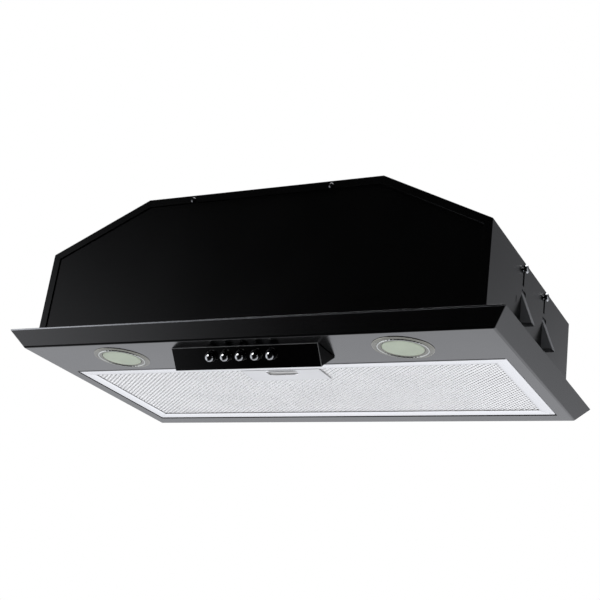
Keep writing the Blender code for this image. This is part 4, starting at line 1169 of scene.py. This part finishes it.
def filter_layers():
    """The front and back mesh, and the pads of metal wool between them, all round the latch's bay."""
    low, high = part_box("filter_mesh")
    latch_low, latch_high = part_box("latch_plate")
    bay_left, bay_right = latch_low.x - CLOSE, latch_high.x + CLOSE
    areas = (
        ((low.x, low.y), (bay_left, high.y)),
        ((bay_left, latch_high.y + CLOSE), (bay_right, high.y)),
        ((bay_right, low.y), (high.x, high.y)),
    )
    for i, (corner, other) in enumerate(areas):
        pad = block(f"filter_wool_{i}", (*corner, low.z + 0.00055), (*other, low.z + 0.0052), "wool")
        stands_for(bevel(pad, 0.0006), "filter_mesh")
    for name, above in (("filter_mesh_front", 0.0003), ("filter_mesh_back", 0.0056)):
        bm = bmesh.new()
        for corner, other in areas:
            expanded_sheet(bm, corner, other, low.z + above)
        bmesh.ops.delete(bm, geom=[vert for vert in bm.verts if not vert.link_faces], context="VERTS")
        bmesh.ops.remove_doubles(bm, verts=bm.verts, dist=WELD)
        obj = from_bmesh(name, bm, "aluminium_mesh", sharp=35)
        thick = obj.modifiers.new("foil", "SOLIDIFY")
        thick.thickness = FOIL
        thick.offset = 0.0
        stands_for(obj, "filter_mesh")


def latch():
    """The flat pan in the filter, its finger slot, the sprung slider behind it and the spring."""
    low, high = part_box("latch_plate")
    lip = 0.0008
    look = "dull_aluminium"
    outline = [(low.x, low.y), (high.x, low.y), (high.x, high.y), (low.x, high.y)]
    floor = plate("latch_floor", [outline, finger_slot(0.017, 0.0056)], low.z, low.z + lip, look)
    stands_for(bevel(floor, 0.0002, 2, 50), "latch_plate")
    left, right, rear = low.x + lip, high.x - lip, high.y - lip
    walls = [(low.x, low.y), (left, low.y), (left, rear), (right, rear), (right, low.y), (high.x, low.y),
             (high.x, high.y), (low.x, high.y)]
    rim = prism("latch_walls", walls, low.z + lip, high.z, look)
    goes_with(bevel(rim, 0.0002, 2), "latch_plate")
    rolled_lip("finger_lip", finger_slot(0.0176, 0.0062), low.z + 0.0001, 0.00055, "aluminium", "latch_plate")
    slider()
    spring()


def slider():
    """The sprung plate with its tongue and a finger hole with a rolled edge."""
    low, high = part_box("latch_slider")
    look = "slider_coat"
    bottom, shoulder = high.z - 0.002, -0.05
    half = [(high.x, high.y), (high.x, shoulder), (TONGUE_HALF, shoulder), (TONGUE_HALF, low.y)]
    outline = [(-x, y) for x, y in half] + half[::-1]
    hole = finger_slot(0.0155, 0.0019, FINGER_SLOT_Y - 0.0012)
    sheet = plate("slider_sheet", [outline, hole], bottom, high.z - 0.0008, look)
    stands_for(bevel(sheet, 0.0002, 2, 50), "latch_slider")
    rolled_lip("slider_lip", hole, bottom, 0.00026, look, "latch_slider")


def rolled_lip(name, outline, height, radius, look, node):
    """A round edge all along an outline at one height."""
    points = [(x, y, height) for x, y in [*outline, outline[0]]]
    goes_with(tube(name, points, radius, look, smooth=False), node)


def finger_slot(half, radius, y=FINGER_SLOT_Y, steps=10):
    """A slot's outline: two straight sides and two half circles."""
    found = []
    for side in (1, -1):
        for i in range(steps + 1):
            angle = math.pi * i / steps - side * QUARTER
            found.append((side * (half - radius) + radius * math.cos(angle), y + radius * math.sin(angle)))
    return found


def spring():
    """A coil between the slider and the pan's rear wall, made at one fixed length though the spring shortens
    as the slider is pulled back.
    """
    low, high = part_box("latch_spring")
    wire = 0.00028
    turns, steps = 5, 24
    radius = (high.x - low.x) / 2 - wire
    centre = (low + high) / 2
    length = high.y - low.y - 2 * wire
    points = []
    for i in range(turns * steps + 1):
        angle = math.tau * i / steps
        y = low.y + wire + length * i / (turns * steps)
        points.append((centre.x + radius * math.cos(angle), y, centre.z + radius * math.sin(angle)))
    coil = stands_for(tube("latch_coil", points, wire, "chrome", smooth=False), "latch_spring")
    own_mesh(coil)


def main():
    dress_nodes()
    studio()
    photo_camera()
    for build in (sheet_metal, rim_shade_and_highlight, side_clips, duct_collar, lamps, controls):
        build()
    outside = set(bpy.data.objects)
    for build in (fan_wheel, blower_casing, motor, electrics, filter_frame, filter_layers, latch):
        build()
    inside = [obj for obj in bpy.data.objects if obj.type == "MESH" and obj not in outside]
    only_lights(softbox("fill", (0.3, -1.6, -0.45), (0, 0, 0), 1.4, FILL_POWER), inside)
    only_lights(softbox("front_fill", (-0.2, -1.9, -0.15), (0, 0, 0), 1.8, FILL_POWER), inside)


main()
